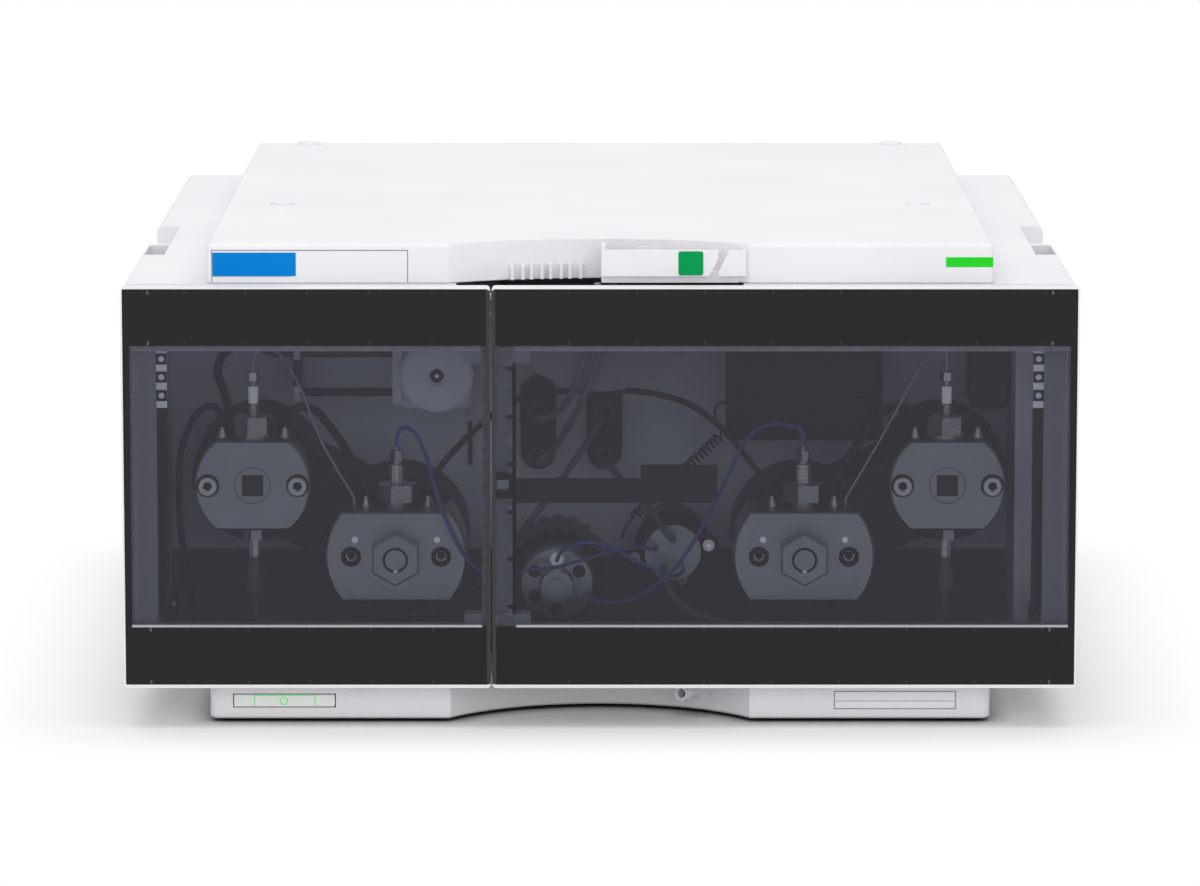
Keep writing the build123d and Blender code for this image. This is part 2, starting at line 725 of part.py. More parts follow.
# Leak pan: a dark tray with a sloping floor and a high back.
pan_gap = 0.3
pan_back_top = 58.0
pan_side_top = 44.0
pan_front_top = 38.0
pan_wall = 2.5
pan_clear = 60.0               # depth from which the pan clears the shrouds and valves
pan_half = opening_half - pan_gap
pan_front_y = bezel_back + pan_gap
pan_rear_y = liner_back - pan_gap
with BuildPart() as leak_pan:
    with BuildSketch(Plane.YZ.offset(-pan_half)):
        with BuildLine():
            Polyline(
                (pan_front_y, chassis_top),
                (pan_rear_y, chassis_top),
                (pan_rear_y, pan_back_top),
                (pan_rear_y - 6, pan_back_top),
                (pan_rear_y - 12, pan_side_top),
                (pan_front_y + 20, pan_side_top),
                (pan_front_y, pan_front_top),
                close=True,
            )
        make_face()
    extrude(amount=2 * pan_half)
    with BuildSketch(Plane.YZ.offset(-pan_half + pan_wall)):
        with BuildLine():
            Polyline(
                (pan_front_y + pan_wall, chassis_top + 3),
                (pan_rear_y - 22, chassis_top + 7),
                (pan_rear_y - pan_wall, pan_back_top - 2),
                (pan_rear_y - pan_wall, pan_back_top + 1),
                (pan_front_y + pan_wall, pan_back_top + 1),
                close=True,
            )
        make_face()
    extrude(amount=2 * (pan_half - pan_wall), mode=Mode.SUBTRACT)
    # clearance round the shrouds and the valves
    with BuildSketch(facing_front(compartment_depth)):
        with Locations((-inner_head_x, inner_head_z), (inner_head_x, inner_head_z)):
            Circle(inner_nose + pan_gap)
        with Locations((purge_x, purge_z)):
            Circle(purge_drive + pan_gap)
        with Locations((multi_x, multi_z)):
            Circle(multi_ring + pan_gap)
    extrude(amount=compartment_depth - pan_clear, mode=Mode.SUBTRACT)
    # clearance round the tube duct
    with BuildSketch(Plane.XY.offset(chassis_top)):
        with Locations((post_left - pan_gap, front + post_front - pan_gap)):
            Rectangle(20, 80, align=(Align.MIN, Align.MIN))
    extrude(amount=pan_back_top, mode=Mode.SUBTRACT)
save(leak_pan.part, "leak_pan")

# Leak funnel: a half-round trough under the mouth in the ceiling.
with BuildPart() as leak_funnel:
    with BuildSketch(facing_front(funnel_back)):
        with Locations((0, funnel_z)):
            Circle(funnel_radius)
    extrude(amount=funnel_back - funnel_front)
    with BuildSketch(facing_front(funnel_back - funnel_wall)):
        with Locations((0, funnel_z)):
            Circle(funnel_radius - funnel_wall)
    extrude(amount=funnel_back - funnel_front - 2 * funnel_wall, mode=Mode.SUBTRACT)
    # cut level with the ceiling
    with BuildSketch(Plane.XY.offset(ceiling)):
        Rectangle(3 * funnel_radius, 2 * depth)
    extrude(amount=2 * funnel_radius, mode=Mode.SUBTRACT)
save(leak_funnel.part, "leak_funnel")

# Clip strips just inside the opening, each with three round clip seats.
strip_width = 4.3
strip_bottom = 132.6
strip_top = 156.5
clip_levels = (138.1, 145.8, 153.4)
clip_radius = 2.2
with BuildPart() as clip_strips:
    for side in (-1, 1):
        with BuildSketch(Plane.XZ.offset(-(bezel_back + 0.3))):
            with Locations((side * (opening_half - strip_width / 2), (strip_bottom + strip_top) / 2)):
                Rectangle(strip_width, strip_top - strip_bottom)
            with Locations(*[(side * (opening_half - strip_width / 2), z) for z in clip_levels]):
                Circle(1.2, mode=Mode.SUBTRACT)
        extrude(amount=-3.0)
        with BuildSketch(Plane.XZ.offset(-(bezel_back + 0.3))):
            with Locations(*[(side * (opening_half - strip_width / 2), z) for z in clip_levels]):
                Circle(clip_radius - 0.1)
                Circle(1.2, mode=Mode.SUBTRACT)
        extrude(amount=1.8)
save(clip_strips.part, "clip_strips")

# Catch arm: the sheet bracket whose long finger carries the doors' catch at the seam.
arm_front = 24.0
arm_thickness = 3.0
arm_left = -44.0
catch_width = 7.0
catch_height = 7.0
catch_gap = 0.8
arm_step = 17.0
arm_right = 49.0
arm_bottom = 91.5
arm_top = 101.5
arm_plate_top = 107.2
web_left = 39.5
web_length = compartment_depth - arm_front - arm_thickness
with BuildPart() as door_catch_arm:
    with BuildSketch(facing_front(arm_front + arm_thickness)):
        with BuildLine():
            Polyline(
                (arm_left, arm_bottom),
                (arm_right - 2, arm_bottom),
                (arm_right - 2, arm_bottom + 1.5),
                (arm_right, arm_bottom + 1.5),
                (arm_right, arm_plate_top),
                (arm_step, arm_plate_top),
                (arm_step, arm_top),
                (arm_left + catch_width, arm_top),
                (arm_left + catch_width, latch_z + catch_height / 2),
                (arm_left, latch_z + catch_height / 2),
                close=True,
            )
        make_face()
    extrude(amount=arm_thickness)
    with BuildSketch(facing_front(arm_front)):
        with Locations((arm_left, latch_z)):
            Rectangle(catch_width, catch_height, align=(Align.MIN, Align.CENTER))
    extrude(amount=arm_front - door_thickness - catch_gap)
    with BuildSketch(Plane.XY.offset(arm_bottom + 1.5)):
        with Locations((web_left, front + arm_front + arm_thickness)):
            Rectangle(arm_right - web_left, web_length, align=(Align.MIN, Align.MIN))
    extrude(amount=2.0)
    with BuildSketch(facing_front(compartment_depth)):
        with Locations((web_left, arm_bottom + 1.5)):
            Rectangle(arm_right - web_left, 12, align=(Align.MIN, Align.MIN))
    extrude(amount=2.0)
save(door_catch_arm.part, "door_catch_arm")


# ---------------------------------------------------------------- pump channels
shroud_front = head_back
web_half = 19.0
crease_round = 10.0
shroud_bore = 8.5
washer_radius = 4.8


def shroud(side):
    """Black moulding behind a channel's two heads: two noses joined by a waisted web."""
    outer = (side * outer_head_x, outer_head_z)
    inner = (side * inner_head_x, inner_head_z)
    run, rise = inner[0] - outer[0], inner[1] - outer[1]
    with BuildPart() as moulding:
        with BuildSketch(facing_front(compartment_depth)):
            with Locations(outer):
                Circle(outer_nose)
            with Locations(inner):
                Circle(inner_nose)
            with Locations(((outer[0] + inner[0]) / 2, (outer[1] + inner[1]) / 2)):
                Rectangle(sqrt(run**2 + rise**2), 2 * web_half, rotation=degrees(atan2(rise, run)))
        extrude(amount=compartment_depth - shroud_front)
        creases = moulding.edges().filter_by(Axis.Y).filter_by(
            lambda edge: abs(abs(edge.center().X) - (outer_head_x + inner_head_x) / 2) < 16
        )
        fillet(creases, crease_round)
        with BuildSketch(facing_front(compartment_depth)):
            with Locations(outer, inner):
                Circle(shroud_bore)
        extrude(amount=compartment_depth - shroud_front, mode=Mode.SUBTRACT)
        chamfer(moulding.faces().sort_by(Axis.Y)[0].outer_wire().edges(), 1.0)
    return moulding.part


save(shroud(-1), "shroud_a")
save(shroud(1), "shroud_b")

bore_radius = 2.6
bore_depth = 16.0
socket_bore = 4.3
counterbore_depth = 6.0
port_radius = 4.0
port_depth = 5.0
hex_flats = 19.3
hex_height = 9.0
hex_bore = 5.4


def head_block(center, face, radius, flats):
    """Round steel block with flats above and below."""
    with BuildPart() as block:
        with BuildSketch(facing_front(head_back)):
            with Locations(center):
                Circle(radius)
                Rectangle(2 * radius, 2 * flats, mode=Mode.INTERSECT)
        extrude(amount=head_back - face)
        chamfer(block.faces().sort_by(Axis.Y)[0].edges(), 0.8)
        with BuildSketch(facing_front(head_back)):
            with Locations(center):
                Circle(bore_radius)
        extrude(amount=bore_depth, mode=Mode.SUBTRACT)
        middle = front + (face + head_back) / 2
        with BuildSketch(Plane.XY.offset(center[1] + flats)):
            with Locations((center[0], middle)):
                Circle(port_radius)
        extrude(amount=-port_depth, mode=Mode.SUBTRACT)
    return block.part


def outer_head(side):
    """Head at the cabinet's side: plain face with a plate seat, and a port below as well."""
    center = (side * outer_head_x, outer_head_z)
    middle = front + (outer_head_face + head_back) / 2
    with BuildPart() as head:
        add(head_block(center, outer_head_face, outer_head_radius, head_flat))
        with BuildSketch(facing_front(outer_head_face)):
            with Locations(center):
                Rectangle(9.1, 9.1)
        extrude(amount=-0.5, mode=Mode.SUBTRACT)
        with BuildSketch(facing_front(outer_head_face)):
            with Locations(center):
                Circle(7.7)
                Circle(7.4, mode=Mode.SUBTRACT)
        extrude(amount=-0.4, mode=Mode.SUBTRACT)
        with BuildSketch(facing_front(outer_head_face)):
            with Locations((center[0] - screw_offset, center[1]), (center[0] + screw_offset, center[1])):
                Circle(socket_bore + 0.6)
        extrude(amount=-1.5, mode=Mode.SUBTRACT)
        with BuildSketch(Plane.XY.offset(center[1] - head_flat)):
            with Locations((center[0], middle)):
                Circle(port_radius)
        extrude(amount=port_depth, mode=Mode.SUBTRACT)
    return head.part


def inner_head(side):
    """Head next to the middle: deep counterbores, two locating pins' holes and a hexagon boss."""
    center = (side * inner_head_x, inner_head_z)
    screws = ((center[0] - screw_offset, center[1]), (center[0] + screw_offset, center[1]))
    with BuildPart() as head:
        add(head_block(center, inner_head_face, inner_head_radius, head_flat))
        for ring in (14.3, 24.0):
            with BuildSketch(facing_front(inner_head_face)):
                with Locations(center):
                    Circle(ring)
                    Circle(ring - 0.35, mode=Mode.SUBTRACT)
                    Rectangle(2 * ring, 2 * head_flat - 2, mode=Mode.INTERSECT)
            extrude(amount=-0.4, mode=Mode.SUBTRACT)
        with BuildSketch(facing_front(inner_head_face)):
            with Locations(*screws):
                Circle(socket_bore)
        extrude(amount=-counterbore_depth, mode=Mode.SUBTRACT)
        with BuildSketch(facing_front(inner_head_face)):
            with Locations((center[0] - 17.2, center[1] + 7.2), (center[0] + 17.2, center[1] + 7.2)):
                Circle(1.5)
        extrude(amount=-1.2, mode=Mode.SUBTRACT)
        with BuildSketch(facing_front(inner_head_face)):
            with Locations(center):
                RegularPolygon(hex_flats / 2, 6, major_radius=False, rotation=30)
        extrude(amount=hex_height)
        chamfer(head.faces().sort_by(Axis.Y)[0].outer_wire().edges(), 0.6)
        with BuildSketch(facing_front(inner_head_face - hex_height)):
            with Locations(center):
                Circle(hex_bore)
                Circle(hex_bore - 1.1, mode=Mode.SUBTRACT)
        extrude(amount=-2.0, mode=Mode.SUBTRACT)
    return head.part


save(outer_head(-1), "outer_head_a")
save(inner_head(-1), "inner_head_a")
save(outer_head(1), "outer_head_b")
save(inner_head(1), "inner_head_b")


def cap_screw(center, seat):
    """Socket-head screw whose head stands on a face at this depth."""
    head_height = 5.0
    with BuildPart() as screw:
        with BuildSketch(facing_front(seat)):
            with Locations(center):
                Circle(socket_bore - 0.2)
        extrude(amount=head_height)
        fillet(screw.edges().filter_by(GeomType.CIRCLE).sort_by(Axis.Y)[0], 0.7)
        with BuildSketch(facing_front(seat - head_height)):
            with Locations(center):
                RegularPolygon(2.0, 6, major_radius=False)
        extrude(amount=-2.8, mode=Mode.SUBTRACT)
    return screw.part


with BuildPart() as head_screws:
    for side in (-1, 1):
        for reach in (-screw_offset, screw_offset):
            add(cap_screw((side * outer_head_x + reach, outer_head_z), outer_head_face + 1.5))
            add(cap_screw((side * inner_head_x + reach, inner_head_z), inner_head_face + counterbore_depth))
save(head_screws.part, "head_screws")

# Plungers: ceramic rod, holder and tail that slides in the drive's nose.
rod_radius = 1.6
holder_radius = 7.0
tail_radius = 4.0
holder_front = 73.5
holder_back = compartment_depth - 1.5
rod_front = 58.0
tail_back = compartment_depth + 18.0


def plunger(center):
    """One plunger assembly at its rearmost place."""
    with BuildPart() as moving:
        with BuildSketch(facing_front(holder_front + 1)):
            with Locations(center):
                Circle(rod_radius)
        extrude(amount=holder_front + 1 - rod_front)
        with BuildSketch(facing_front(holder_back)):
            with Locations(center):
                Circle(holder_radius)
        extrude(amount=holder_back - holder_front)
        with BuildSketch(facing_front(tail_back)):
            with Locations(center):
                Circle(tail_radius)
        extrude(amount=tail_back - holder_back)
    return moving.part


plunger_names = ("plunger_outer_a", "plunger_inner_a", "plunger_outer_b", "plunger_inner_b")
for name, center in zip(plunger_names, head_places):
    save(plunger(center), name)

# Drives: motor and ball-screw units bolted behind the compartment's rear wall.
drive_radius = 25.0
drive_flange = 52.0
flange_thickness = 6.0
drive_length = 150.0
encoder_radius = 17.0
encoder_length = 16.0
with BuildPart() as pump_drives:
    for center in head_places:
        drive_front = compartment_depth + liner_wall
        with BuildSketch(facing_front(drive_front)):
            with Locations(center):
                RectangleRounded(drive_flange, drive_flange, 6)
        extrude(amount=-flange_thickness)
        with BuildSketch(facing_front(drive_front + flange_thickness)):
            with Locations(center):
                Circle(drive_radius)
        extrude(amount=-(drive_length - flange_thickness))
        with BuildSketch(facing_front(drive_front + drive_length)):
            with Locations(center):
                Circle(encoder_radius)
        extrude(amount=-encoder_length)
        with BuildSketch(facing_front(drive_front)):
            with Locations(center):
                Circle(nose_radius)
        extrude(amount=liner_wall)
        with BuildSketch(facing_front(compartment_depth)):
            with Locations(center):
                Circle(tail_radius + running_clearance)
        extrude(amount=-(tail_back - compartment_depth + 2), mode=Mode.SUBTRACT)
save(pump_drives.part, "pump_drives")

# ---------------------------------------------------------------- seal-wash pump
wash_x, wash_z = -68.9, 140.0
cassette_radius = 15.4
cassette_front = 60.0
cassette_back = 74.0
cassette_floor = 3.0
track_radius = 13.0
cover_thickness = 1.5
hub_radius = 2.5
roller_circle = 8.4
roller_radius = 2.4
carrier_radius = 8.0
shaft_end = 84.0
with BuildPart() as wash_pump_body:
    with BuildSketch(facing_front(compartment_depth)):
        with Locations((wash_x - 1.2, wash_z - 2.0)):
            RectangleRounded(30.5, 27.0, 3)
    extrude(amount=compartment_depth - cassette_back)
    with BuildSketch(facing_front(cassette_back)):
        with Locations((wash_x, wash_z)):
            Circle(cassette_radius)
    extrude(amount=cassette_back - cassette_front - cover_thickness)
    with BuildSketch(facing_front(cassette_front + cover_thickness)):
        with Locations((wash_x, wash_z)):
            Circle(track_radius)
    extrude(amount=-(cassette_back - cassette_front - cover_thickness - cassette_floor), mode=Mode.SUBTRACT)
    with BuildSketch(facing_front(cassette_back - cassette_floor)):
        with Locations((wash_x, wash_z)):
            Circle(hub_radius + running_clearance)
    extrude(amount=-(shaft_end - cassette_back + cassette_floor + 1), mode=Mode.SUBTRACT)
    # tube connector on the left
    with BuildSketch(facing_front(cassette_back + 6)):
        with Locations((wash_x - cassette_radius - 1.8, wash_z - 1)):
            Rectangle(4.0, 25.0)
    extrude(amount=9)
save(wash_pump_body.part, "wash_pump_body")

with BuildPart() as wash_pump_cover:
    with BuildSketch(facing_front(cassette_front + cover_thickness)):
        with Locations((wash_x, wash_z)):
            Circle(cassette_radius)
            Circle(hub_radius + free_clearance, mode=Mode.SUBTRACT)
    extrude(amount=cover_thickness)
    with BuildSketch(facing_front(cassette_front)):
        with Locations((wash_x, wash_z)):
            Circle(cassette_radius - 0.8)
            Circle(hub_radius + 1.6, mode=Mode.SUBTRACT)
    extrude(amount=1.0)
    fillet(wash_pump_cover.edges().filter_by(GeomType.CIRCLE).group_by(Axis.Y)[0], 0.4)
save(wash_pump_cover.part, "wash_pump_cover")

with BuildPart() as wash_pump_rotor:
    with BuildSketch(facing_front(shaft_end)):
        with Locations((wash_x, wash_z)):
            Circle(hub_radius)
    extrude(amount=shaft_end - cassette_front + 0.5)
    for level in (cassette_front + cover_thickness + 0.8, cassette_back - cassette_floor - 2.3):
        with BuildSketch(facing_front(level + 1.5)):
            with Locations((wash_x, wash_z)):
                Circle(carrier_radius)
        extrude(amount=1.5)
    with BuildSketch(facing_front(cassette_back - cassette_floor - 1.0)):
        with Locations((wash_x, wash_z)):
            with PolarLocations(roller_circle, 4):
                Circle(roller_radius)
    extrude(amount=cassette_back - cassette_floor - cassette_front - cover_thickness - 1.6)
save(wash_pump_rotor.part, "wash_pump_rotor")


# ---------------------------------------------------------------- valves
def scalloped(center, radius, notches, notch_radius):
    """Round outline with a ring of shallow finger scallops, in the current sketch."""
    with Locations(center):
        Circle(radius)
        with PolarLocations(radius + 0.45 * notch_radius, notches):
            Circle(notch_radius, mode=Mode.SUBTRACT)


valve_shaft = 3.0
purge_port_circle = 10.8
purge_port = 2.0
purge_port_depth = 2.5
purge_stator = 16.0
purge_face = 50.0
purge_seat = 72.0
purge_rotor_radius = 9.0
rotor_gap = 0.3
with BuildPart() as purge_valve:
    with BuildSketch(facing_front(compartment_depth)):
        scalloped((purge_x, purge_z), purge_drive, 18, 2.6)
    extrude(amount=compartment_depth - purge_seat)
    with BuildSketch(facing_front(purge_seat)):
        with Locations((purge_x, purge_z)):
            Circle(purge_stator)
    extrude(amount=purge_seat - purge_face)
    chamfer(purge_valve.faces().sort_by(Axis.Y)[0].edges(), 1.0)
    with BuildSketch(facing_front(purge_face)):
        with Locations((purge_x, purge_z)):
            with PolarLocations(purge_port_circle, 6, start_angle=30):
                Circle(purge_port)
    extrude(amount=-purge_port_depth, mode=Mode.SUBTRACT)
    with BuildSketch(facing_front(purge_face)):
        with Locations((purge_x, purge_z)):
            Circle(7.6)
    extrude(amount=8.0, taper=6)
    with BuildSketch(facing_front(purge_face - 8.0)):
        with Locations((purge_x, purge_z)):
            Circle(3.6)
    extrude(amount=2.6)
    with BuildSketch(facing_front(purge_seat)):
        with Locations((purge_x, purge_z)):
            Circle(purge_rotor_radius + rotor_gap)
    extrude(amount=8.0, mode=Mode.SUBTRACT)
    with BuildSketch(facing_front(purge_seat)):
        with Locations((purge_x, purge_z)):
            Circle(valve_shaft + running_clearance)
    extrude(amount=-24.0, mode=Mode.SUBTRACT)
save(purge_valve.part, "purge_valve")


def valve_rotor(center, radius, seat):
    """Rotor disc with its shaft, just behind the stator."""
    with BuildPart() as rotor:
        with BuildSketch(facing_front(seat - rotor_gap)):
            with Locations(center):
                Circle(radius)
        extrude(amount=6.0)
        with BuildSketch(facing_front(seat + 22)):
            with Locations(center):
                Circle(valve_shaft)
        extrude(amount=22 + rotor_gap)
    return rotor.part


save(valve_rotor((purge_x, purge_z), purge_rotor_radius, purge_seat), "purge_rotor")

multi_port_circle = 7.2
multi_port = 1.6
multi_port_depth = 2.0
multi_stator = 11.9
multi_face = 60.0
multi_seat = 78.0
multi_rotor_radius = 7.5
ear_places = [(46.3, 65.5), (14.9, 60.4), (35.0, 50.4)]
ear_radius = 4.3
with BuildPart() as multi_valve:
    with BuildSketch(facing_front(compartment_depth)):
        with Locations((multi_x, multi_z)):
            Circle(multi_ring - 2.4)
    extrude(amount=compartment_depth - multi_seat)
    with BuildSketch(facing_front(multi_seat)):
        with Locations((multi_x, multi_z)):
            Circle(multi_ring)
        for ear in ear_places:
            with Locations(ear):
                Circle(ear_radius)
    extrude(amount=6.0)
    with BuildSketch(facing_front(multi_seat - 6.0)):
        with Locations((multi_x, multi_z)):
            Circle(multi_stator)
    extrude(amount=multi_seat - 6.0 - multi_face)
    with BuildSketch(facing_front(multi_face)):
        with Locations((multi_x, multi_z)):
            with PolarLocations(multi_port_circle, 5, start_angle=18):
                Circle(multi_port)
    extrude(amount=-multi_port_depth, mode=Mode.SUBTRACT)
    with BuildSketch(facing_front(multi_seat)):
        with Locations((multi_x, multi_z)):
            Circle(multi_rotor_radius + rotor_gap)
    extrude(amount=8.0, mode=Mode.SUBTRACT)
    with BuildSketch(facing_front(multi_seat)):
        with Locations((multi_x, multi_z)):
            Circle(valve_shaft + running_clearance)
    extrude(amount=-24.0, mode=Mode.SUBTRACT)
save(multi_valve.part, "multi_valve")
save(valve_rotor((multi_x, multi_z), multi_rotor_radius, multi_seat), "multi_rotor")

# Valve cartridges and fittings of the heads, built upwards from the flats, and the valves' nuts.
collar_radius = 7.8
blue = 1.6                     # outside diameter of the blue capillaries


def stacked(center_x, behind, base_z, steps):
    """Turned and hexagonal steps stacked along Z: (kind, size across, height)."""
    with BuildPart() as stack:
        level = base_z
        for kind, across, height in steps:
            with BuildSketch(Plane.XY.offset(level)):
                with Locations((center_x, front + behind)):
                    if kind == "hex":
                        RegularPolygon(across / 2, 6, major_radius=False, rotation=15)
                    else:
                        Circle(across / 2)
            extrude(amount=height)
            level += height
    return stack.part


outer_middle = (outer_head_face + head_back) / 2
inner_middle = (inner_head_face + head_back) / 2
outer_top = outer_head_z + head_flat
outer_bottom = outer_head_z - head_flat
inner_top = inner_head_z + head_flat
spigot = 2 * (port_radius - 0.15)
outlet_steps = [
    ("round", spigot, port_depth),
    ("round", 2 * collar_radius, 1.6),
    ("hex", 14.4, 7.6),
    ("round", 4.6, 5.2),
    ("round", 3.8, 7.5),
    ("round", 3.0, 2.2),
    ("hex", 4.6, 3.8),
]
inner_steps = [
    ("round", spigot, port_depth),
    ("round", 10.6, 2.4),
    ("hex", 15.4, 7.2),
    ("round", 5.4, 8.4),
    ("round", 4.2, 1.2),
    ("hex", 5.0, 4.6),
    ("round", 2.6, 1.8),
]
inlet_steps = [
    ("round", 3.9, 7.6),
    ("hex", 8.0, 4.3),
    ("round", 6.4, 1.3),
    ("round", spigot, port_depth),
]
outlet_top = outer_top + sum(step[2] for step in outlet_steps[1:])
inner_fitting_top = inner_top + sum(step[2] for step in inner_steps[1:])
inlet_bottom = outer_bottom - sum(step[2] for step in inlet_steps[:-1])


def port_at(center, circle, angle):
    """X and Z of a valve's port at this angle on its port circle."""
    return (center[0] + circle * cos(radians(angle)), center[1] + circle * sin(radians(angle)))


purge_top_port = port_at((purge_x, purge_z), purge_port_circle, 90)
purge_side_port = port_at((purge_x, purge_z), purge_port_circle, 330)
multi_left_port = port_at((multi_x, multi_z), multi_port_circle, 162)
multi_top_port = port_at((multi_x, multi_z), multi_port_circle, 90)
multi_low_port = port_at((multi_x, multi_z), multi_port_circle, 234)
multi_right_port = port_at((multi_x, multi_z), multi_port_circle, 306)
purge_floor = purge_face + purge_port_depth
multi_floor = multi_face + multi_port_depth
nut_length = 4.8
with BuildPart() as valve_fittings:
    for port in (purge_top_port, purge_side_port):
        with BuildSketch(facing_front(purge_floor)):
            with Locations(port):
                Circle(purge_port - 0.1)
                Circle(blue / 2 + running_clearance, mode=Mode.SUBTRACT)
        extrude(amount=nut_length)
    for port in (multi_left_port, multi_right_port):
        with BuildSketch(facing_front(multi_floor)):
            with Locations(port):
                Circle(multi_port - 0.1)
                Circle(blue / 2 + running_clearance, mode=Mode.SUBTRACT)
        extrude(amount=nut_length)
    for side in (-1, 1):
        add(stacked(side * outer_head_x, outer_middle, outer_top - port_depth, outlet_steps))
        add(stacked(side * inner_head_x, inner_middle, inner_top - port_depth, inner_steps))
        add(stacked(side * outer_head_x, outer_middle, inlet_bottom, inlet_steps))
save(valve_fittings.part, "valve_fittings")

# ---------------------------------------------------------------- degasser, mixer, sensor
degasser_half = 33.0
degasser_bottom = 82.0
degasser_top = 150.0
degasser_depth = 90.0
port_levels = (99.9, 118.8)
port_ring = 4.3
port_hole = 1.5
with BuildPart() as degasser:
    with BuildSketch(facing_front(compartment_depth + liner_wall)):
        with Locations((sum(port_block_x) / 2, (degasser_bottom + degasser_top) / 2)):
            RectangleRounded(2 * degasser_half, degasser_top - degasser_bottom, 3)
    extrude(amount=-degasser_depth)
    with BuildSketch(facing_front(compartment_depth + liner_wall)):
        with Locations(*[(x, port_block_z) for x in port_block_x]):
            SlotOverall(port_block_height, port_block_width, rotation=90)
    extrude(amount=compartment_depth + liner_wall - port_block_front)
    with BuildSketch(facing_front(port_block_front)):
        with Locations(*[(x, z) for x in port_block_x for z in port_levels]):
            Circle(port_ring)
            Circle(port_ring - 1.2, mode=Mode.SUBTRACT)
    extrude(amount=1.2)
    with BuildSketch(facing_front(port_block_front)):
        with Locations(*[(x, z) for x in port_block_x for z in port_levels]):
            Circle(port_hole + 0.3)
    extrude(amount=-4.0, mode=Mode.SUBTRACT)
save(degasser.part, "degasser")

mixer_left = 53.6
mixer_right = 119.6
mixer_bottom = 112.4
mixer_top = 166.0
mixer_front = 60.0
mixer_back = 84.0
holder_sheet = 1.6
with BuildPart() as mixer_block:
    with BuildSketch(facing_front(mixer_back)):
        with Locations(((mixer_left + mixer_right) / 2, (mixer_bottom + mixer_top) / 2)):
            RectangleRounded(mixer_right - mixer_left, mixer_top - mixer_bottom, 1.2)
    extrude(amount=mixer_back - mixer_front)
    chamfer(mixer_block.faces().sort_by(Axis.Y)[0].edges(), 0.5)
    with BuildSketch(facing_front(mixer_front)):
        with Locations((mixer_left + 12, mixer_bottom + 21), (mixer_right - 9, mixer_bottom + 20)):
            Circle(2.0)
    extrude(amount=-3.0, mode=Mode.SUBTRACT)
save(mixer_block.part, "mixer_block")

# Holder sheets: one behind the mixer with a hanging lug, one beside the seal-wash pump.
with BuildPart() as mixer_holder:
    with BuildSketch(facing_front(mixer_back + holder_sheet)):
        with Locations((mixer_left + 0.6, mixer_bottom - 10.6)):
            Rectangle(2.0, mixer_top - mixer_bottom + 10.6, align=(Align.MIN, Align.MIN))
        with Locations((mixer_left + 0.6, mixer_bottom + 6)):
            Rectangle(mixer_right - mixer_left - 8, 30, align=(Align.MIN, Align.MIN))
    extrude(amount=holder_sheet)
    with BuildSketch(facing_front(compartment_depth)):
        with Locations((mixer_left + 20, mixer_bottom + 16), (mixer_right - 20, mixer_bottom + 16)):
            Circle(3.5)
    extrude(amount=compartment_depth - mixer_back - holder_sheet)
save(mixer_holder.part, "mixer_holder")

sensor_right = post_left - 0.8
sensor_left = sensor_right - 17.4
sensor_bottom, sensor_top = 122.5, 165.0
with BuildPart() as pressure_sensor:
    with BuildSketch(facing_front(compartment_depth)):
        with Locations(((sensor_left + sensor_right) / 2, (sensor_bottom + sensor_top) / 2)):
            RectangleRounded(sensor_right - sensor_left, sensor_top - sensor_bottom, 5.0)
    extrude(amount=26.0)
    fillet(pressure_sensor.faces().sort_by(Axis.Y)[0].edges(), 1.5)
save(pressure_sensor.part, "pressure_sensor")

# ---------------------------------------------------------------- tubes and capillaries
bend_share = 0.45              # part of the shorter run that an arc may take


def pipe(points, diameter):
    """Round tube along straight runs joined by tangent arcs as large as the runs allow."""
    corners = [Vector(*point) for point in points]
    radii = []
    for before, corner, after in zip(corners, corners[1:], corners[2:]):
        turn = (corner - before).get_angle(after - corner)
        run = min((corner - before).length, (after - corner).length)
        radii.append(bend_share * run / tan(radians(turn / 2)))
    with BuildPart() as tube:
        with BuildLine() as path:
            FilletPolyline(*corners, radius=radii)
        with BuildSketch(Plane(origin=path.line @ 0, z_dir=path.line % 0)):
            Circle(diameter / 2)
        sweep()
    return tube.part


def mirrored(points):
    """The same route on the other side of the cabinet."""
    return [(-x, y, z) for x, y, z in points]


insulated = 3.6
wash_tube_levels = (147.4, 130.6)
wash_tube_behind = 78.0
bracket_left = -130.4
pump_connector = wash_x - cassette_radius - 3.8
head_loop = [
    at(-156.5, 57, outer_top),
    at(-156.5, 57, 121.5),
    at(-158.6, 62, 132.0),
    at(-163.0, 68, 141.5),
    at(-159.0, 73, 149.6),
    at(-149.0, 77, 151.6),
    at(-139.0, wash_tube_behind, wash_tube_levels[0]),
    at(bracket_left, wash_tube_behind, wash_tube_levels[0]),
]
overflow_start = port_at((-outer_head_x, outer_head_z), outer_nose, 119)
overflow_rise = port_at((-outer_head_x, outer_head_z), outer_nose + 9.0, 119)
overflow_hose = [
    at(overflow_start[0], 66, overflow_start[1]),
    at(overflow_rise[0], 66, overflow_rise[1]),
    at(-171.0, 66, 124.0),
    at(-177.0, 66, 112.0),
    at(-179.0, 66, 98.0),
    at(-179.0, 66, 78.0),
    at(-176.4, 66, 60.0),
    at(-173.6, 66, 42.0),
]
link_loop = [
    at(-134.4, 56, outer_top),
    at(-134.4, 56, 119.6),
    at(-131.6, 55.5, 125.2),
    at(-126.4, 55, 128.0),
    at(-119.4, 55, 126.0),
    at(-111.0, 55, 115.4),
    at(-102.6, 54, 101.4),
    at(-98.2, 51, 92.8),
    at(-98.2, 51, inner_top),
]
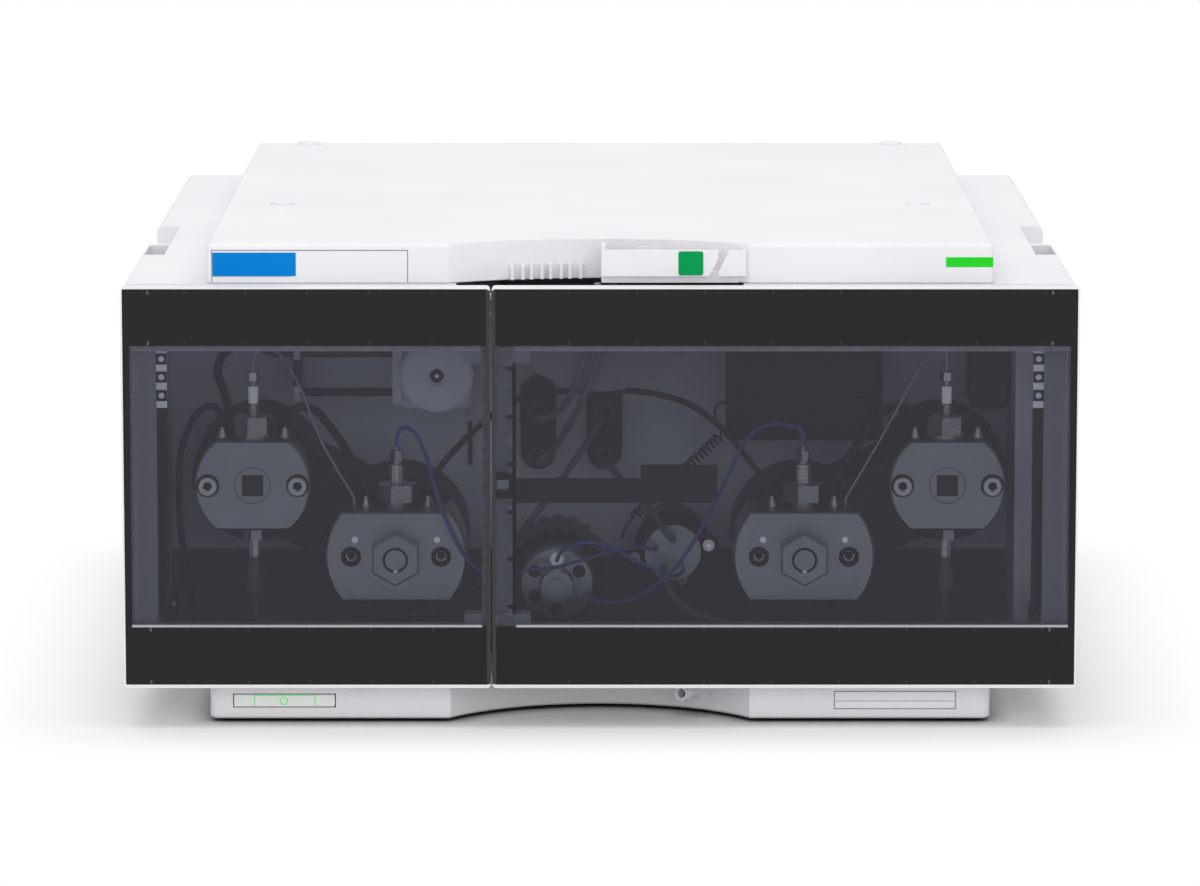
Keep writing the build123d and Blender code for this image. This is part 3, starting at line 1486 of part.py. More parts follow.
cross_tube = [
    at(-73.4, 52, inner_top),
    at(-73.4, 52, 91.6),
    at(-69.0, 58, 100.0),
    at(-60.4, 62, 109.6),
    at(-49.8, 62, 119.7),
    at(-41.0, 62, 127.0),
    at(-31.0, 62, 131.6),
    at(-16.0, 62, 133.4),
    at(0.6, 62, 134.0),
    at(20.5, 60, 133.4),
    at(38.0, 55, 129.2),
    at(51.0, 51, 119.9),
    at(63.0, 50, 105.4),
    at(73.4, 50, 92.4),
    at(73.4, 50, inner_top),
]
with BuildPart() as wash_tubes:
    add(pipe(head_loop, insulated))
    add(pipe(link_loop, insulated))
    add(pipe(mirrored(link_loop), insulated))
    add(pipe(cross_tube, 2.6))
    add(pipe(overflow_hose, 2.8))
    for level in wash_tube_levels:
        with BuildSketch(Plane.YZ.offset(bracket_left + 2.6)):
            with Locations((front + wash_tube_behind, level)):
                Circle(insulated / 2)
        extrude(amount=pump_connector - bracket_left - 2.6)
    # bracket at the tubes' left end
    with BuildSketch(Plane.YZ.offset(bracket_left)):
        with Locations((front + compartment_depth, sum(wash_tube_levels) / 2)):
            Rectangle(compartment_depth - wash_tube_behind + 3, 24, align=(Align.MAX, Align.CENTER))
    extrude(amount=2.6)
save(wash_tubes.part, "wash_tubes")

solvent = 3.0
sleeve = 7.4
sleeve_length = 14.0
sleeve_bottom = inlet_bottom - sleeve_length
port_left, port_right = port_block_x
port_floor = port_block_front + 4
bottle_line_upper = [
    at(port_left, port_floor, port_levels[1]),
    at(port_left, 80, port_levels[1]),
    at(-20.5, 62, 122.4),
    at(-14.5, 42, 130.0),
    at(-9.5, 30, 142.0),
    at(-4.5, 29, 156.0),
    at(-1.5, 26, 172.0),
    at(-1.0, 22, 184.0),
]
bottle_line_lower = [
    at(port_left, port_floor, port_levels[0]),
    at(port_left, 82, port_levels[0]),
    at(-21.0, 64, 106.0),
    at(-12.5, 44, 122.0),
    at(-4.5, 31, 140.0),
    at(1.0, 29, 156.0),
    at(5.0, 26, 172.0),
    at(6.0, 22, 184.0),
]
inlet_line_a = [
    at(port_right, port_floor, port_levels[1]),
    at(port_right, 86, port_levels[1]),
    at(-6.0, 76, 108.0),
    at(-22.0, 72, 86.0),
    at(-40.0, 76, 62.0),
    at(-56.0, 84, 42.0),
    at(-78.0, 84, 33.5),
    at(-104.0, 74, 32.5),
    at(-128.0, 60, 32.5),
    at(-outer_head_x, outer_middle, 35.0),
    at(-outer_head_x, outer_middle, sleeve_bottom),
]
valve_line = [
    at(port_right, port_floor, port_levels[0]),
    at(port_right, 84, port_levels[0]),
    at(9.0, 72, 94.0),
    at(22.0, 58, 82.0),
    at(multi_top_port[0], 41, multi_top_port[1]),
    at(multi_top_port[0], multi_floor, multi_top_port[1]),
]
inlet_line_b = [
    at(multi_low_port[0], multi_floor, multi_low_port[1]),
    at(multi_low_port[0], 52, multi_low_port[1]),
    at(29.0, 50, 48.6),
    at(38.0, 51, 40.0),
    at(54.0, 54, 35.0),
    at(76.0, 68, 32.6),
    at(102.0, 70, 32.0),
    at(128.0, 60, 32.5),
    at(outer_head_x, outer_middle, 35.0),
    at(outer_head_x, outer_middle, sleeve_bottom),
]
with BuildPart() as solvent_tubes:
    for route in (bottle_line_upper, bottle_line_lower, inlet_line_a, valve_line, inlet_line_b):
        add(pipe(route, solvent))
    for side in (-1, 1):
        with BuildSketch(Plane.XY.offset(sleeve_bottom)):
            with Locations((side * outer_head_x, front + outer_middle)):
                Circle(sleeve / 2)
        extrude(amount=sleeve_length, taper=6)
save(solvent_tubes.part, "solvent_tubes")

outlet_line_a = [
    at(-inner_head_x, inner_middle, inner_fitting_top),
    at(-inner_head_x, inner_middle, 117.0),
    at(-82.6, 45.0, 121.0),
    at(-77.6, 44, 118.4),
    at(-73.0, 40, 109.0),
    at(-69.0, 30, 96.0),
    at(-64.0, 25, 82.0),
    at(-57.6, 27, 69.0),
    at(-50.0, 34, 59.6),
    at(-40.0, 40, 57.4),
    at(-30.0, 41, 60.4),
    at(-18.8, 41, 61.0),
    at(-7.0, 42, 64.4),
    at(8.0, 45, 68.2),
    at(19.0, 49, 68.6),
    at(multi_left_port[0], 52, multi_left_port[1]),
    at(multi_left_port[0], multi_floor, multi_left_port[1]),
]
jumper = [
    at(purge_top_port[0], purge_floor, purge_top_port[1]),
    at(purge_top_port[0], 42.0, purge_top_port[1]),
    at(-17.0, 36.4, 68.6),
    at(-8.0, 36, 73.2),
    at(1.0, 36, 71.8),
    at(12.0, 38, 66.6),
    at(24.0, 41, 59.4),
    at(31.0, 43, 56.4),
    at(multi_right_port[0], 47, multi_right_port[1]),
    at(multi_right_port[0], multi_floor, multi_right_port[1]),
]
outlet_line_b = [
    at(purge_side_port[0], purge_floor, purge_side_port[1]),
    at(purge_side_port[0], 43, purge_side_port[1]),
    at(-2.0, 37, 48.0),
    at(6.0, 36, 46.4),
    at(17.0, 36, 49.4),
    at(32.4, 37, 61.6),
    at(44.4, 42, 80.0),
    at(56.0, 48, 104.0),
    at(61.4, 48, 115.0),
    at(68.0, 47, 120.6),
    at(76.0, 46, 122.0),
    at(inner_head_x - 1.0, inner_middle, 119.6),
    at(inner_head_x, inner_middle, 116.4),
    at(inner_head_x, inner_middle, inner_fitting_top),
]
with BuildPart() as blue_capillaries:
    for route in (outlet_line_a, jumper, outlet_line_b):
        add(pipe(route, blue))
save(blue_capillaries.part, "blue_capillaries")

steel = 1.2
transfer_a = [
    at(-outer_head_x, outer_middle, outlet_top),
    at(-outer_head_x, outer_middle, 149.0),
    at(-142.2, 50, 154.0),
    at(-134.4, 49, 151.4),
    at(-125.6, 46, 137.0),
    at(-118.4, 44, 116.0),
    at(-108.0, 43, 98.0),
    at(-103.4, 42, 91.0),
    at(-103.4, 42, inner_top),
]
transfer_b = [
    at(outer_head_x, outer_middle, outlet_top),
    at(outer_head_x, outer_middle, 156.0),
    at(144.0, 50, 163.0),
    at(139.6, 48, 158.0),
    at(133.0, 46, 143.0),
    at(118.4, 44, 116.0),
    at(106.0, 42, 95.0),
    at(103.4, 42, 90.6),
    at(103.4, 42, inner_top),
]
with BuildPart() as steel_capillaries:
    for route in (transfer_a, transfer_b):
        add(pipe(route, steel))
save(steel_capillaries.part, "steel_capillaries")

# Coiled capillary: its two leads, and the outer shape of the close helix between them.
coil_diameter = 5.0
coil_start = Vector(*at(51.0, 74, 112.0))
coil_end = Vector(*at(14.5, 78, 77.0))
coil_axis = (coil_end - coil_start).normalized()
coil_length = (coil_end - coil_start).length
coil_route = [
    at(mixer_left, 72, 127.0),
    at(48.6, 72, 127.0),
    at(49.0, 73, 119.0),
    tuple(coil_start - coil_axis * 2.0),
    tuple(coil_end + coil_axis * 4.0),
    at(9.6, 84, 68.0),
    at(9.6, 94, 64.0),
    at(9.6, compartment_depth, 64.0),
]
with BuildPart() as coiled_capillary:
    add(pipe(coil_route, steel))
    with BuildSketch(Plane(origin=coil_start, z_dir=coil_axis)):
        Circle(coil_diameter / 2)
    extrude(amount=coil_length)
save(coiled_capillary.part, "coiled_capillary")

# ================================================================ rear of the cabinet
fan_x, fan_z = 62.0, 104.0
fan_size = 92.0
fan_depth = 25.0
fan_bore = 43.0
inlet_x, inlet_z = -150.0, 50.0
inlet_width, inlet_height = 27.4, 47.4
socket_places = [(-96.0, 92.0, 15.6, 13.0), (-96.0, 112.0, 15.6, 13.0), (-72.0, 102.0, 18.0, 34.0)]
rear_bottom = base_top + 0.2
with BuildPart() as rear_panel:
    with BuildSketch(Plane.XZ.offset(-back)):
        with Locations((0, (rear_bottom + cabinet_top - 0.5) / 2)):
            RectangleRounded(width - 0.8, cabinet_top - 0.5 - rear_bottom, 2)
        with Locations((inlet_x, inlet_z)):
            Rectangle(inlet_width, inlet_height, mode=Mode.SUBTRACT)
        for x, z, across, tall in socket_places:
            with Locations((x, z)):
                Rectangle(across + 0.6, tall + 0.6, mode=Mode.SUBTRACT)
        for row in range(-4, 5):
            slot_length = 2 * sqrt((fan_bore - 3) ** 2 - (row * 9.0) ** 2)
            with Locations((fan_x, fan_z + row * 9.0)):
                SlotOverall(max(slot_length, 14.0), 4.5, mode=Mode.SUBTRACT)
    extrude(amount=panel_thickness)
    with BuildSketch(Plane.XY.offset(cabinet_top - 0.5 - panel_thickness)):
        with Locations((0, back)):
            Rectangle(2 * flange_reach - 1.6, 24.0, align=(Align.CENTER, Align.MAX))
    extrude(amount=panel_thickness)
save(rear_panel.part, "rear_panel")

with BuildPart() as power_inlet:
    with BuildSketch(Plane.XZ.offset(-(back + 0.0))):
        with Locations((inlet_x, inlet_z)):
            Rectangle(inlet_width - 0.6, inlet_height - 0.6)
    extrude(amount=30.0)
    with BuildSketch(Plane.XZ.offset(-panel_front)):
        with Locations((inlet_x, inlet_z)):
            Rectangle(inlet_width + 4, inlet_height + 4)
    extrude(amount=2.0)
    with BuildSketch(Plane.XZ.offset(-back)):
        with Locations((inlet_x, inlet_z + 8)):
            RectangleRounded(24.0, 17.0, 3.0)
    extrude(amount=16.0, mode=Mode.SUBTRACT)
    with BuildSketch(Plane.XZ.offset(-(back - 16))):
        with Locations((inlet_x - 7, inlet_z + 7), (inlet_x + 7, inlet_z + 7), (inlet_x, inlet_z + 11)):
            Rectangle(2.0, 4.0)
    extrude(amount=-12.0)
    with BuildSketch(Plane.XZ.offset(-back)):
        with Locations((inlet_x, inlet_z - 13)):
            Rectangle(22.0, 12.0)
            Rectangle(21.0, 11.0, mode=Mode.SUBTRACT)
    extrude(amount=1.5, mode=Mode.SUBTRACT)
save(power_inlet.part, "power_inlet")

# Interface board: the circuit board that stands behind the rear panel, with its sockets.
board_gap = 16.0
board_left, board_right = -118.0, -40.0
board_top = 150.0
chip_size = 20.0
chip_height = 3.0
chip_places = [(-100.0, 60.0), (-65.0, 60.0), (-80.0, 135.0)]
with BuildPart() as interface_board:
    with BuildSketch(Plane.XZ.offset(-(panel_front - board_gap))):
        with Locations(((board_left + board_right) / 2, (chassis_top + board_top) / 2)):
            Rectangle(board_right - board_left, board_top - chassis_top)
    extrude(amount=1.6)
    for x, z, across, tall in socket_places:
        with BuildSketch(Plane.XZ.offset(-(back - 0.3))):
            with Locations((x, z)):
                Rectangle(across, tall)
        extrude(amount=board_gap + panel_thickness - 0.3)
        with BuildSketch(Plane.XZ.offset(-(back - 0.3))):
            with Locations((x, z)):
                Rectangle(across - 3.0, tall - 4.0)
        extrude(amount=9.0, mode=Mode.SUBTRACT)
    with BuildSketch(Plane.XZ.offset(-(panel_front - board_gap - 1.6))):
        with Locations(*chip_places):
            Rectangle(chip_size, chip_size)
    extrude(amount=chip_height)
save(interface_board.part, "interface_board")

# Power supply: a perforated sheet-metal box standing on the chassis plate.
supply_width = 64.0
supply_right = plate_half - 13.5
supply_left = supply_right - supply_width
supply_front = front + compartment_depth + liner_wall + drive_length + encoder_length + 2.0
supply_back = panel_front - 8.0
supply_height = 110.0
with BuildPart() as power_supply:
    with BuildSketch(Plane.XY.offset(chassis_top)):
        with Locations(((supply_left + supply_right) / 2, (supply_front + supply_back) / 2)):
            Rectangle(supply_right - supply_left, supply_back - supply_front)
    extrude(amount=supply_height)
    chamfer(power_supply.edges().filter_by(Axis.Z), 1.0)
    with BuildSketch(Plane.XY.offset(chassis_top + supply_height)):
        with Locations(((supply_left + supply_right) / 2, (supply_front + supply_back) / 2)):
            with GridLocations(1, 12, 1, 8):
                SlotOverall(44, 4)
    extrude(amount=-2.0, mode=Mode.SUBTRACT)
save(power_supply.part, "power_supply")

# Fan: a square frame on the rear panel with its hub on four struts, and the bladed rotor.
hub_cup = 17.0
hub_shaft = 2.5
fan_front_y = panel_front - fan_depth
strut_thickness = 3.0
with BuildPart() as fan_frame:
    with BuildSketch(Plane.XZ.offset(-panel_front)):
        with Locations((fan_x, fan_z)):
            RectangleRounded(fan_size, fan_size, 5)
            Circle(fan_bore, mode=Mode.SUBTRACT)
    extrude(amount=fan_depth)
    with BuildSketch(Plane.XZ.offset(-(fan_front_y + strut_thickness))):
        with Locations((fan_x, fan_z)):
            Circle(hub_cup)
            with PolarLocations((hub_cup + fan_bore) / 2, 4, start_angle=45):
                Rectangle(fan_bore - hub_cup + 4, 4.0)
            Circle(hub_shaft + running_clearance, mode=Mode.SUBTRACT)
    extrude(amount=strut_thickness)
save(fan_frame.part, "fan_frame")

blade_count = 7
blade_pitch = 35.0
blade_reach = fan_bore - 1.5
blade_width = 15.0
blade_thickness = 1.4
with BuildPart() as fan_rotor:
    with BuildSketch(Plane.XZ.offset(-(panel_front - 3))):
        with Locations((fan_x, fan_z)):
            Circle(hub_cup)
    extrude(amount=fan_depth - 3 - strut_thickness - 1)
    fillet(fan_rotor.edges().filter_by(GeomType.CIRCLE).sort_by(Axis.Y)[-1], 1.5)
    with BuildSketch(Plane.XZ.offset(-(fan_front_y + strut_thickness + 1))):
        with Locations((fan_x, fan_z)):
            Circle(hub_shaft)
    extrude(amount=strut_thickness + 0.5)
    hub_middle = panel_front - fan_depth / 2
    for blade in range(blade_count):
        turn = 360.0 / blade_count * blade
        outward = Vector(cos(radians(turn)), 0, sin(radians(turn)))
        across = Vector(-sin(radians(turn)), 0, cos(radians(turn)))
        tilted = across * cos(radians(blade_pitch)) + Vector(0, 1, 0) * sin(radians(blade_pitch))
        blade_plane = Plane(
            origin=(fan_x, hub_middle, fan_z),
            x_dir=outward,
            z_dir=tilted,
        )
        with BuildSketch(blade_plane.offset(-blade_thickness / 2)):
            with Locations((hub_cup - 2, 0)):
                Rectangle(blade_reach - hub_cup + 2, blade_width, align=(Align.MIN, Align.CENTER))
        extrude(amount=blade_thickness)
save(fan_rotor.part, "fan_rotor")
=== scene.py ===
"""Looks of the bench-top high-pressure pump module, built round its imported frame."""
import json
import logging
import math
from dataclasses import dataclass, field
from enum import Enum
from typing import Any, Optional, Sequence

import bmesh
import bpy
from mathutils import Matrix, Vector

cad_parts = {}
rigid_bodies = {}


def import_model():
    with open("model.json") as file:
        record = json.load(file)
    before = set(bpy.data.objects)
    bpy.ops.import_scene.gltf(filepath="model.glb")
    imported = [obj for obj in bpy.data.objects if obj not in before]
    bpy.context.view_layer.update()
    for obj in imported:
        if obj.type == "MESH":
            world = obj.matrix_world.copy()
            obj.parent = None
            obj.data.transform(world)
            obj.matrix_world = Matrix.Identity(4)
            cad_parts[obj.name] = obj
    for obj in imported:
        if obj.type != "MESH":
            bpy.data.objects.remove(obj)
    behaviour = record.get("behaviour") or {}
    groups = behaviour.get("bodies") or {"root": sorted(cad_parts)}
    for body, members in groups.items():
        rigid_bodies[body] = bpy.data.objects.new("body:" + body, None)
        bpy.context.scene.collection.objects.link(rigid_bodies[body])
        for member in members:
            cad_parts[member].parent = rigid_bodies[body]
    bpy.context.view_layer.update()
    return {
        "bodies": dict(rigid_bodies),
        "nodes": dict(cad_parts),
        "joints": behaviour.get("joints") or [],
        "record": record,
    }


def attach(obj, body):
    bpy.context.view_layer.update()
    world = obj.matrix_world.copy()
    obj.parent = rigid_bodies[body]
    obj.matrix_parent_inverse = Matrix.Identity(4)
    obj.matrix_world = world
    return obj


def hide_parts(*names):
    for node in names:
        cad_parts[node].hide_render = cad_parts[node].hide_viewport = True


MM = 0.001
FRONT = -218.0                      # Y of the doors' front face, mm
LOG = logging.getLogger("pump_module")

Point = tuple[float, float, float]
Inputs = dict[Any, Any]


# ---------------------------------------------------------------- small tools
def at(x: float, behind: float, z: float) -> Vector:
    """Gives a point in metres from its depth behind the doors' front face.

    Args:
        x: place across the cabinet, mm.
        behind: depth behind the doors' front face, mm.
        z: height, mm.

    Returns:
        The point in metres.
    """
    return Vector((x, FRONT + behind, z)) * MM


def linear(hex_colour: str) -> tuple[float, float, float, float]:
    """Turns an sRGB hex colour into linear RGBA.

    Args:
        hex_colour: six hex digits.

    Returns:
        The linear colour with alpha 1.
    """
    channels = [int(hex_colour[i:i + 2], 16) / 255 for i in (0, 2, 4)]
    low, high = zip(*[(c / 12.92, ((c + 0.055) / 1.055) ** 2.4) for c in channels])
    return tuple(h if c > 0.04045 else l for c, l, h in zip(channels, low, high)) + (1.0,)


def add_node(tree: bpy.types.NodeTree, kind: str, settings: Optional[dict[str, Any]] = None,
             inputs: Optional[Inputs] = None) -> bpy.types.Node:
    """Adds one node to a tree, with its settings and its inputs.

    Args:
        tree: material, world or geometry tree.
        kind: the node's type name.
        settings: properties of the node.
        inputs: values for its inputs, or the output sockets to link to them.

    Returns:
        The new node.
    """
    node = tree.nodes.new(kind)
    for key, value in (settings or {}).items():
        setattr(node, key, value)
    for key, value in (inputs or {}).items():
        if isinstance(value, bpy.types.NodeSocket):
            tree.links.new(value, node.inputs[key])
        else:
            node.inputs[key].default_value = value
    return node


def per_metre(size_mm: float) -> float:
    """Gives the texture scale whose features are this many millimetres apart.

    Args:
        size_mm: distance in real millimetres.

    Returns:
        The scale.
    """
    return 1000.0 / size_mm


def wave_scale(pitch_mm: float) -> float:
    """Gives the Wave Texture scale whose bands are this many millimetres apart.

    Args:
        pitch_mm: distance in real millimetres.

    Returns:
        The scale.
    """
    return 2 * math.pi / 20 / (pitch_mm * MM)


def two_tone(tree: bpy.types.NodeTree, place: bpy.types.NodeSocket,
             near: bpy.types.NodeSocket, depth: float, far: str) -> bpy.types.NodeSocket:
    """Gives a colour that changes at a depth behind the doors' front face.

    Args:
        tree: the material's tree.
        place: object coordinates.
        near: colour in front of that depth.
        depth: depth of the change, mm.
        far: hex colour behind it.

    Returns:
        The socket of the colour.
    """
    parts = add_node(tree, "ShaderNodeSeparateXYZ", None, {0: place})
    behind = add_node(tree, "ShaderNodeMath", {"operation": "GREATER_THAN"}, {
        0: parts.outputs["Y"], 1: (FRONT + depth) * MM})
    return add_node(tree, "ShaderNodeMix", {"data_type": "RGBA"}, {
        0: behind.outputs[0], 6: near, 7: linear(far)}).outputs[2]


# ---------------------------------------------------------------- finishes
@dataclass(frozen=True)
class Finish:
    """A finish, named for the real material."""

    name: str

    def surface(self, tree: bpy.types.NodeTree) -> bpy.types.NodeSocket:
        """Builds the shader and gives its output socket.

        Args:
            tree: the material's tree.

        Returns:
            The shader's output socket.
        """
        raise NotImplementedError

    def material(self) -> bpy.types.Material:
        """Gives the material, which is built the first time it is asked for.

        Returns:
            The material.
        """
        found = bpy.data.materials.get(self.name)
        if found is not None:
            return found
        material = bpy.data.materials.new(self.name)
        material.use_nodes = True
        tree = material.node_tree
        tree.nodes.clear()
        shader = self.surface(tree)
        add_node(tree, "ShaderNodeOutputMaterial", None, {"Surface": shader})
        return material


@dataclass(frozen=True)
class Moulded(Finish):
    """Injection-moulded plastic: soft cloudy tone and a fine spark-eroded grain."""

    colour: str = "ECEBEE"
    shade: str = "E2E1E5"
    roughness: float = 0.5
    grain_mm: float = 0.9           # real grain is near 0.2 mm; coarser here so that it shows
    grain_depth: float = 0.02
    cloud_mm: float = 70.0
    ior: float = 1.46
    coat: float = 0.0
    light_from: float = 0.0         # depth from which the part is left light; 0 for none
    light: str = "E4E5EC"
    glow: float = 0.0               # painted glow: emission that makes a part brighter than its light; 0 for none

    def surface(self, tree: bpy.types.NodeTree) -> bpy.types.NodeSocket:
        """Builds the moulded plastic shader.

        Args:
            tree: the material's tree.

        Returns:
            The shader's output socket.
        """
        place = add_node(tree, "ShaderNodeTexCoord").outputs["Object"]
        cloud = add_node(tree, "ShaderNodeTexNoise", None, {
            "Vector": place, "Scale": per_metre(self.cloud_mm), "Detail": 2.0})
        tone = add_node(tree, "ShaderNodeMix", {"data_type": "RGBA"}, {
            0: cloud.outputs["Fac"], 6: linear(self.colour), 7: linear(self.shade)}).outputs[2]
        if self.light_from:
            tone = two_tone(tree, place, tone, self.light_from, self.light)
        grain = add_node(tree, "ShaderNodeTexNoise", None, {
            "Vector": place, "Scale": per_metre(self.grain_mm), "Detail": 3.0, "Roughness": 0.6})
        gloss = add_node(tree, "ShaderNodeMapRange", None, {
            "Value": grain.outputs["Fac"], "To Min": max(self.roughness - 0.08, 0.02),
            "To Max": self.roughness + 0.08})
        bump = add_node(tree, "ShaderNodeBump", None, {
            "Strength": 0.25, "Distance": self.grain_depth * MM, "Height": grain.outputs["Fac"]})
        # A glow above 0 is painted light: emission on a part that is no lamp.
        shader = add_node(tree, "ShaderNodeBsdfPrincipled", None, {
            "Base Color": tone, "Roughness": gloss.outputs["Result"],
            "Normal": bump.outputs["Normal"], "IOR": self.ior,
            "Coat Weight": self.coat, "Coat Roughness": 0.12,
            "Emission Color": linear(self.colour), "Emission Strength": self.glow})
        return shader.outputs["BSDF"]


class Marks(Enum):
    """Tool marks that a metal surface shows."""

    TURNED = "turned"
    GROUND = "ground"
    ROLLED = "rolled"
    BLASTED = "blasted"


@dataclass(frozen=True)
class Metal(Finish):
    """Bare metal with the marks of how its surface was made."""

    colour: str = "B9B7B2"
    shade: str = "A5A4A1"
    roughness: float = 0.32
    marks: Marks = Marks.GROUND
    center: Point = (0.0, 0.0, 0.0)  # middle of the turned rings, mm
    pitch_mm: float = 1.3            # feed marks, drawn coarser than the real 0.1 mm
    depth: float = 0.02
    black_from: float = 0.0          # depth from which the part is anodised black; 0 for none
    black: str = "1B1B1E"

    def surface(self, tree: bpy.types.NodeTree) -> bpy.types.NodeSocket:
        """Builds the metal shader.

        Args:
            tree: the material's tree.

        Returns:
            The shader's output socket.
        """
        place = add_node(tree, "ShaderNodeTexCoord").outputs["Object"]
        stretch = {Marks.TURNED: (1, 1, 1), Marks.GROUND: (0.06, 1, 1),
                   Marks.ROLLED: (1, 0.08, 1), Marks.BLASTED: (1, 1, 1)}[self.marks]
        moved = add_node(tree, "ShaderNodeMapping", {"vector_type": "POINT"}, {
            "Vector": place, "Location": [-c * MM * s for c, s in zip(self.center, stretch)],
            "Scale": stretch})
        streak = add_node(tree, "ShaderNodeTexNoise", None, {
            "Vector": moved.outputs[0], "Scale": per_metre(self.pitch_mm), "Detail": 3.0})
        pattern = streak.outputs["Fac"]
        if self.marks is Marks.TURNED:
            rings = add_node(tree, "ShaderNodeTexWave",
                             {"wave_type": "RINGS", "rings_direction": "Y"}, {
                                 "Vector": moved.outputs[0], "Scale": wave_scale(self.pitch_mm),
                                 "Distortion": 0.6, "Detail": 1.0})
            pattern = add_node(tree, "ShaderNodeMix", None, {
                0: 0.45, 2: streak.outputs["Fac"], 3: rings.outputs["Fac"]}).outputs[0]
        cloud = add_node(tree, "ShaderNodeTexNoise", None, {
            "Vector": place, "Scale": per_metre(24.0), "Detail": 2.0})
        mixed = add_node(tree, "ShaderNodeMix", None, {
            0: 0.5, 2: pattern, 3: cloud.outputs["Fac"]}).outputs[0]
        tone = add_node(tree, "ShaderNodeMix", {"data_type": "RGBA"}, {
            0: mixed, 6: linear(self.colour), 7: linear(self.shade)}).outputs[2]
        gloss = add_node(tree, "ShaderNodeMapRange", None, {
            "Value": mixed, "To Min": max(self.roughness - 0.1, 0.05),
            "To Max": self.roughness + 0.1})
        if self.black_from:
            tone = two_tone(tree, place, tone, self.black_from, self.black)
        bump = add_node(tree, "ShaderNodeBump", None, {
            "Strength": 0.3, "Distance": self.depth * MM, "Height": pattern})
        shader = add_node(tree, "ShaderNodeBsdfPrincipled", None, {
            "Base Color": tone, "Metallic": 1.0,
            "Roughness": gloss.outputs["Result"], "Normal": bump.outputs["Normal"]})
        return shader.outputs["BSDF"]


@dataclass(frozen=True)
class SmokedGlass(Finish):
    """Smoked acrylic pane with a black enamel border printed round its window."""

    tint: str = "C3C6CC"
    print_colour: str = "131214"
    print_top: float = 160.9
    print_bottom: float = 43.0
    print_side: float = 194.5
    haze: str = "8C8A9C"
    haze_share: float = 0.06

    def surface(self, tree: bpy.types.NodeTree) -> bpy.types.NodeSocket:
        """Builds the pane: tinted and clear inside the border, glossy black on it.

        Args:
            tree: the material's tree.

        Returns:
            The shader's output socket.
        """
        place = add_node(tree, "ShaderNodeTexCoord").outputs["Object"]
        parts = add_node(tree, "ShaderNodeSeparateXYZ", None, {0: place})
        across = add_node(tree, "ShaderNodeMath", {"operation": "ABSOLUTE"}, {
            0: parts.outputs["X"]})
        above = add_node(tree, "ShaderNodeMath", {"operation": "GREATER_THAN"}, {
            0: parts.outputs["Z"], 1: self.print_top * MM})
        below = add_node(tree, "ShaderNodeMath", {"operation": "LESS_THAN"}, {
            0: parts.outputs["Z"], 1: self.print_bottom * MM})
        beside = add_node(tree, "ShaderNodeMath", {"operation": "GREATER_THAN"}, {
            0: across.outputs[0], 1: self.print_side * MM})
        rows = add_node(tree, "ShaderNodeMath", {"operation": "MAXIMUM"}, {
            0: above.outputs[0], 1: below.outputs[0]})
        border = add_node(tree, "ShaderNodeMath", {"operation": "MAXIMUM"}, {
            0: rows.outputs[0], 1: beside.outputs[0]})
        ripple = add_node(tree, "ShaderNodeTexNoise", None, {
            "Vector": place, "Scale": per_metre(120.0), "Detail": 1.0})
        bump = add_node(tree, "ShaderNodeBump", None, {
            "Strength": 0.05, "Distance": 0.05 * MM, "Height": ripple.outputs["Fac"]})
        tone = add_node(tree, "ShaderNodeMix", {"data_type": "RGBA"}, {
            0: ripple.outputs["Fac"], 6: linear(self.print_colour), 7: linear("18161A")})
        enamel = add_node(tree, "ShaderNodeBsdfPrincipled", None, {
            "Base Color": tone.outputs[2], "Roughness": 0.22, "IOR": 1.33,
            "Normal": bump.outputs["Normal"]})
        clear = add_node(tree, "ShaderNodeBsdfTransparent", None, {"Color": linear(self.tint)})
        haze = add_node(tree, "ShaderNodeBsdfDiffuse", None, {"Color": linear(self.haze)})
        body = add_node(tree, "ShaderNodeMixShader", None, {
            0: self.haze_share, 1: clear.outputs[0], 2: haze.outputs[0]})
        sheen = add_node(tree, "ShaderNodeFresnel", None, {
            "IOR": 1.25, "Normal": bump.outputs["Normal"]})
        mirror = add_node(tree, "ShaderNodeBsdfGlossy", None, {
            "Color": (1, 1, 1, 1), "Roughness": 0.05, "Normal": bump.outputs["Normal"]})
        pane = add_node(tree, "ShaderNodeMixShader", None, {
            0: sheen.outputs[0], 1: body.outputs[0], 2: mirror.outputs[0]})
        whole = add_node(tree, "ShaderNodeMixShader", None, {
            0: border.outputs[0], 1: pane.outputs[0], 2: enamel.outputs[0]})
        return whole.outputs[0]


@dataclass(frozen=True)
class Lit(Finish):
    """Light pipe or lens with its lamp on."""

    colour: str = "22CC22"
    core: str = "2BE02B"
    off: str = "041004"
    strength: float = 0.95
    spread_mm: float = 14.0

    def surface(self, tree: bpy.types.NodeTree) -> bpy.types.NodeSocket:
        """Builds the glowing lens.

        Args:
            tree: the material's tree.

        Returns:
            The shader's output socket.
        """
        place = add_node(tree, "ShaderNodeTexCoord").outputs["Object"]
        glow = add_node(tree, "ShaderNodeTexNoise", None, {
            "Vector": place, "Scale": per_metre(self.spread_mm), "Detail": 1.0})
        tone = add_node(tree, "ShaderNodeMix", {"data_type": "RGBA"}, {
            0: glow.outputs["Fac"], 6: linear(self.colour), 7: linear(self.core)})
        shader = add_node(tree, "ShaderNodeBsdfPrincipled", None, {
            "Base Color": linear(self.off), "Roughness": 0.3, "IOR": 1.2,
            "Emission Color": tone.outputs[2], "Emission Strength": self.strength})
        return shader.outputs["BSDF"]


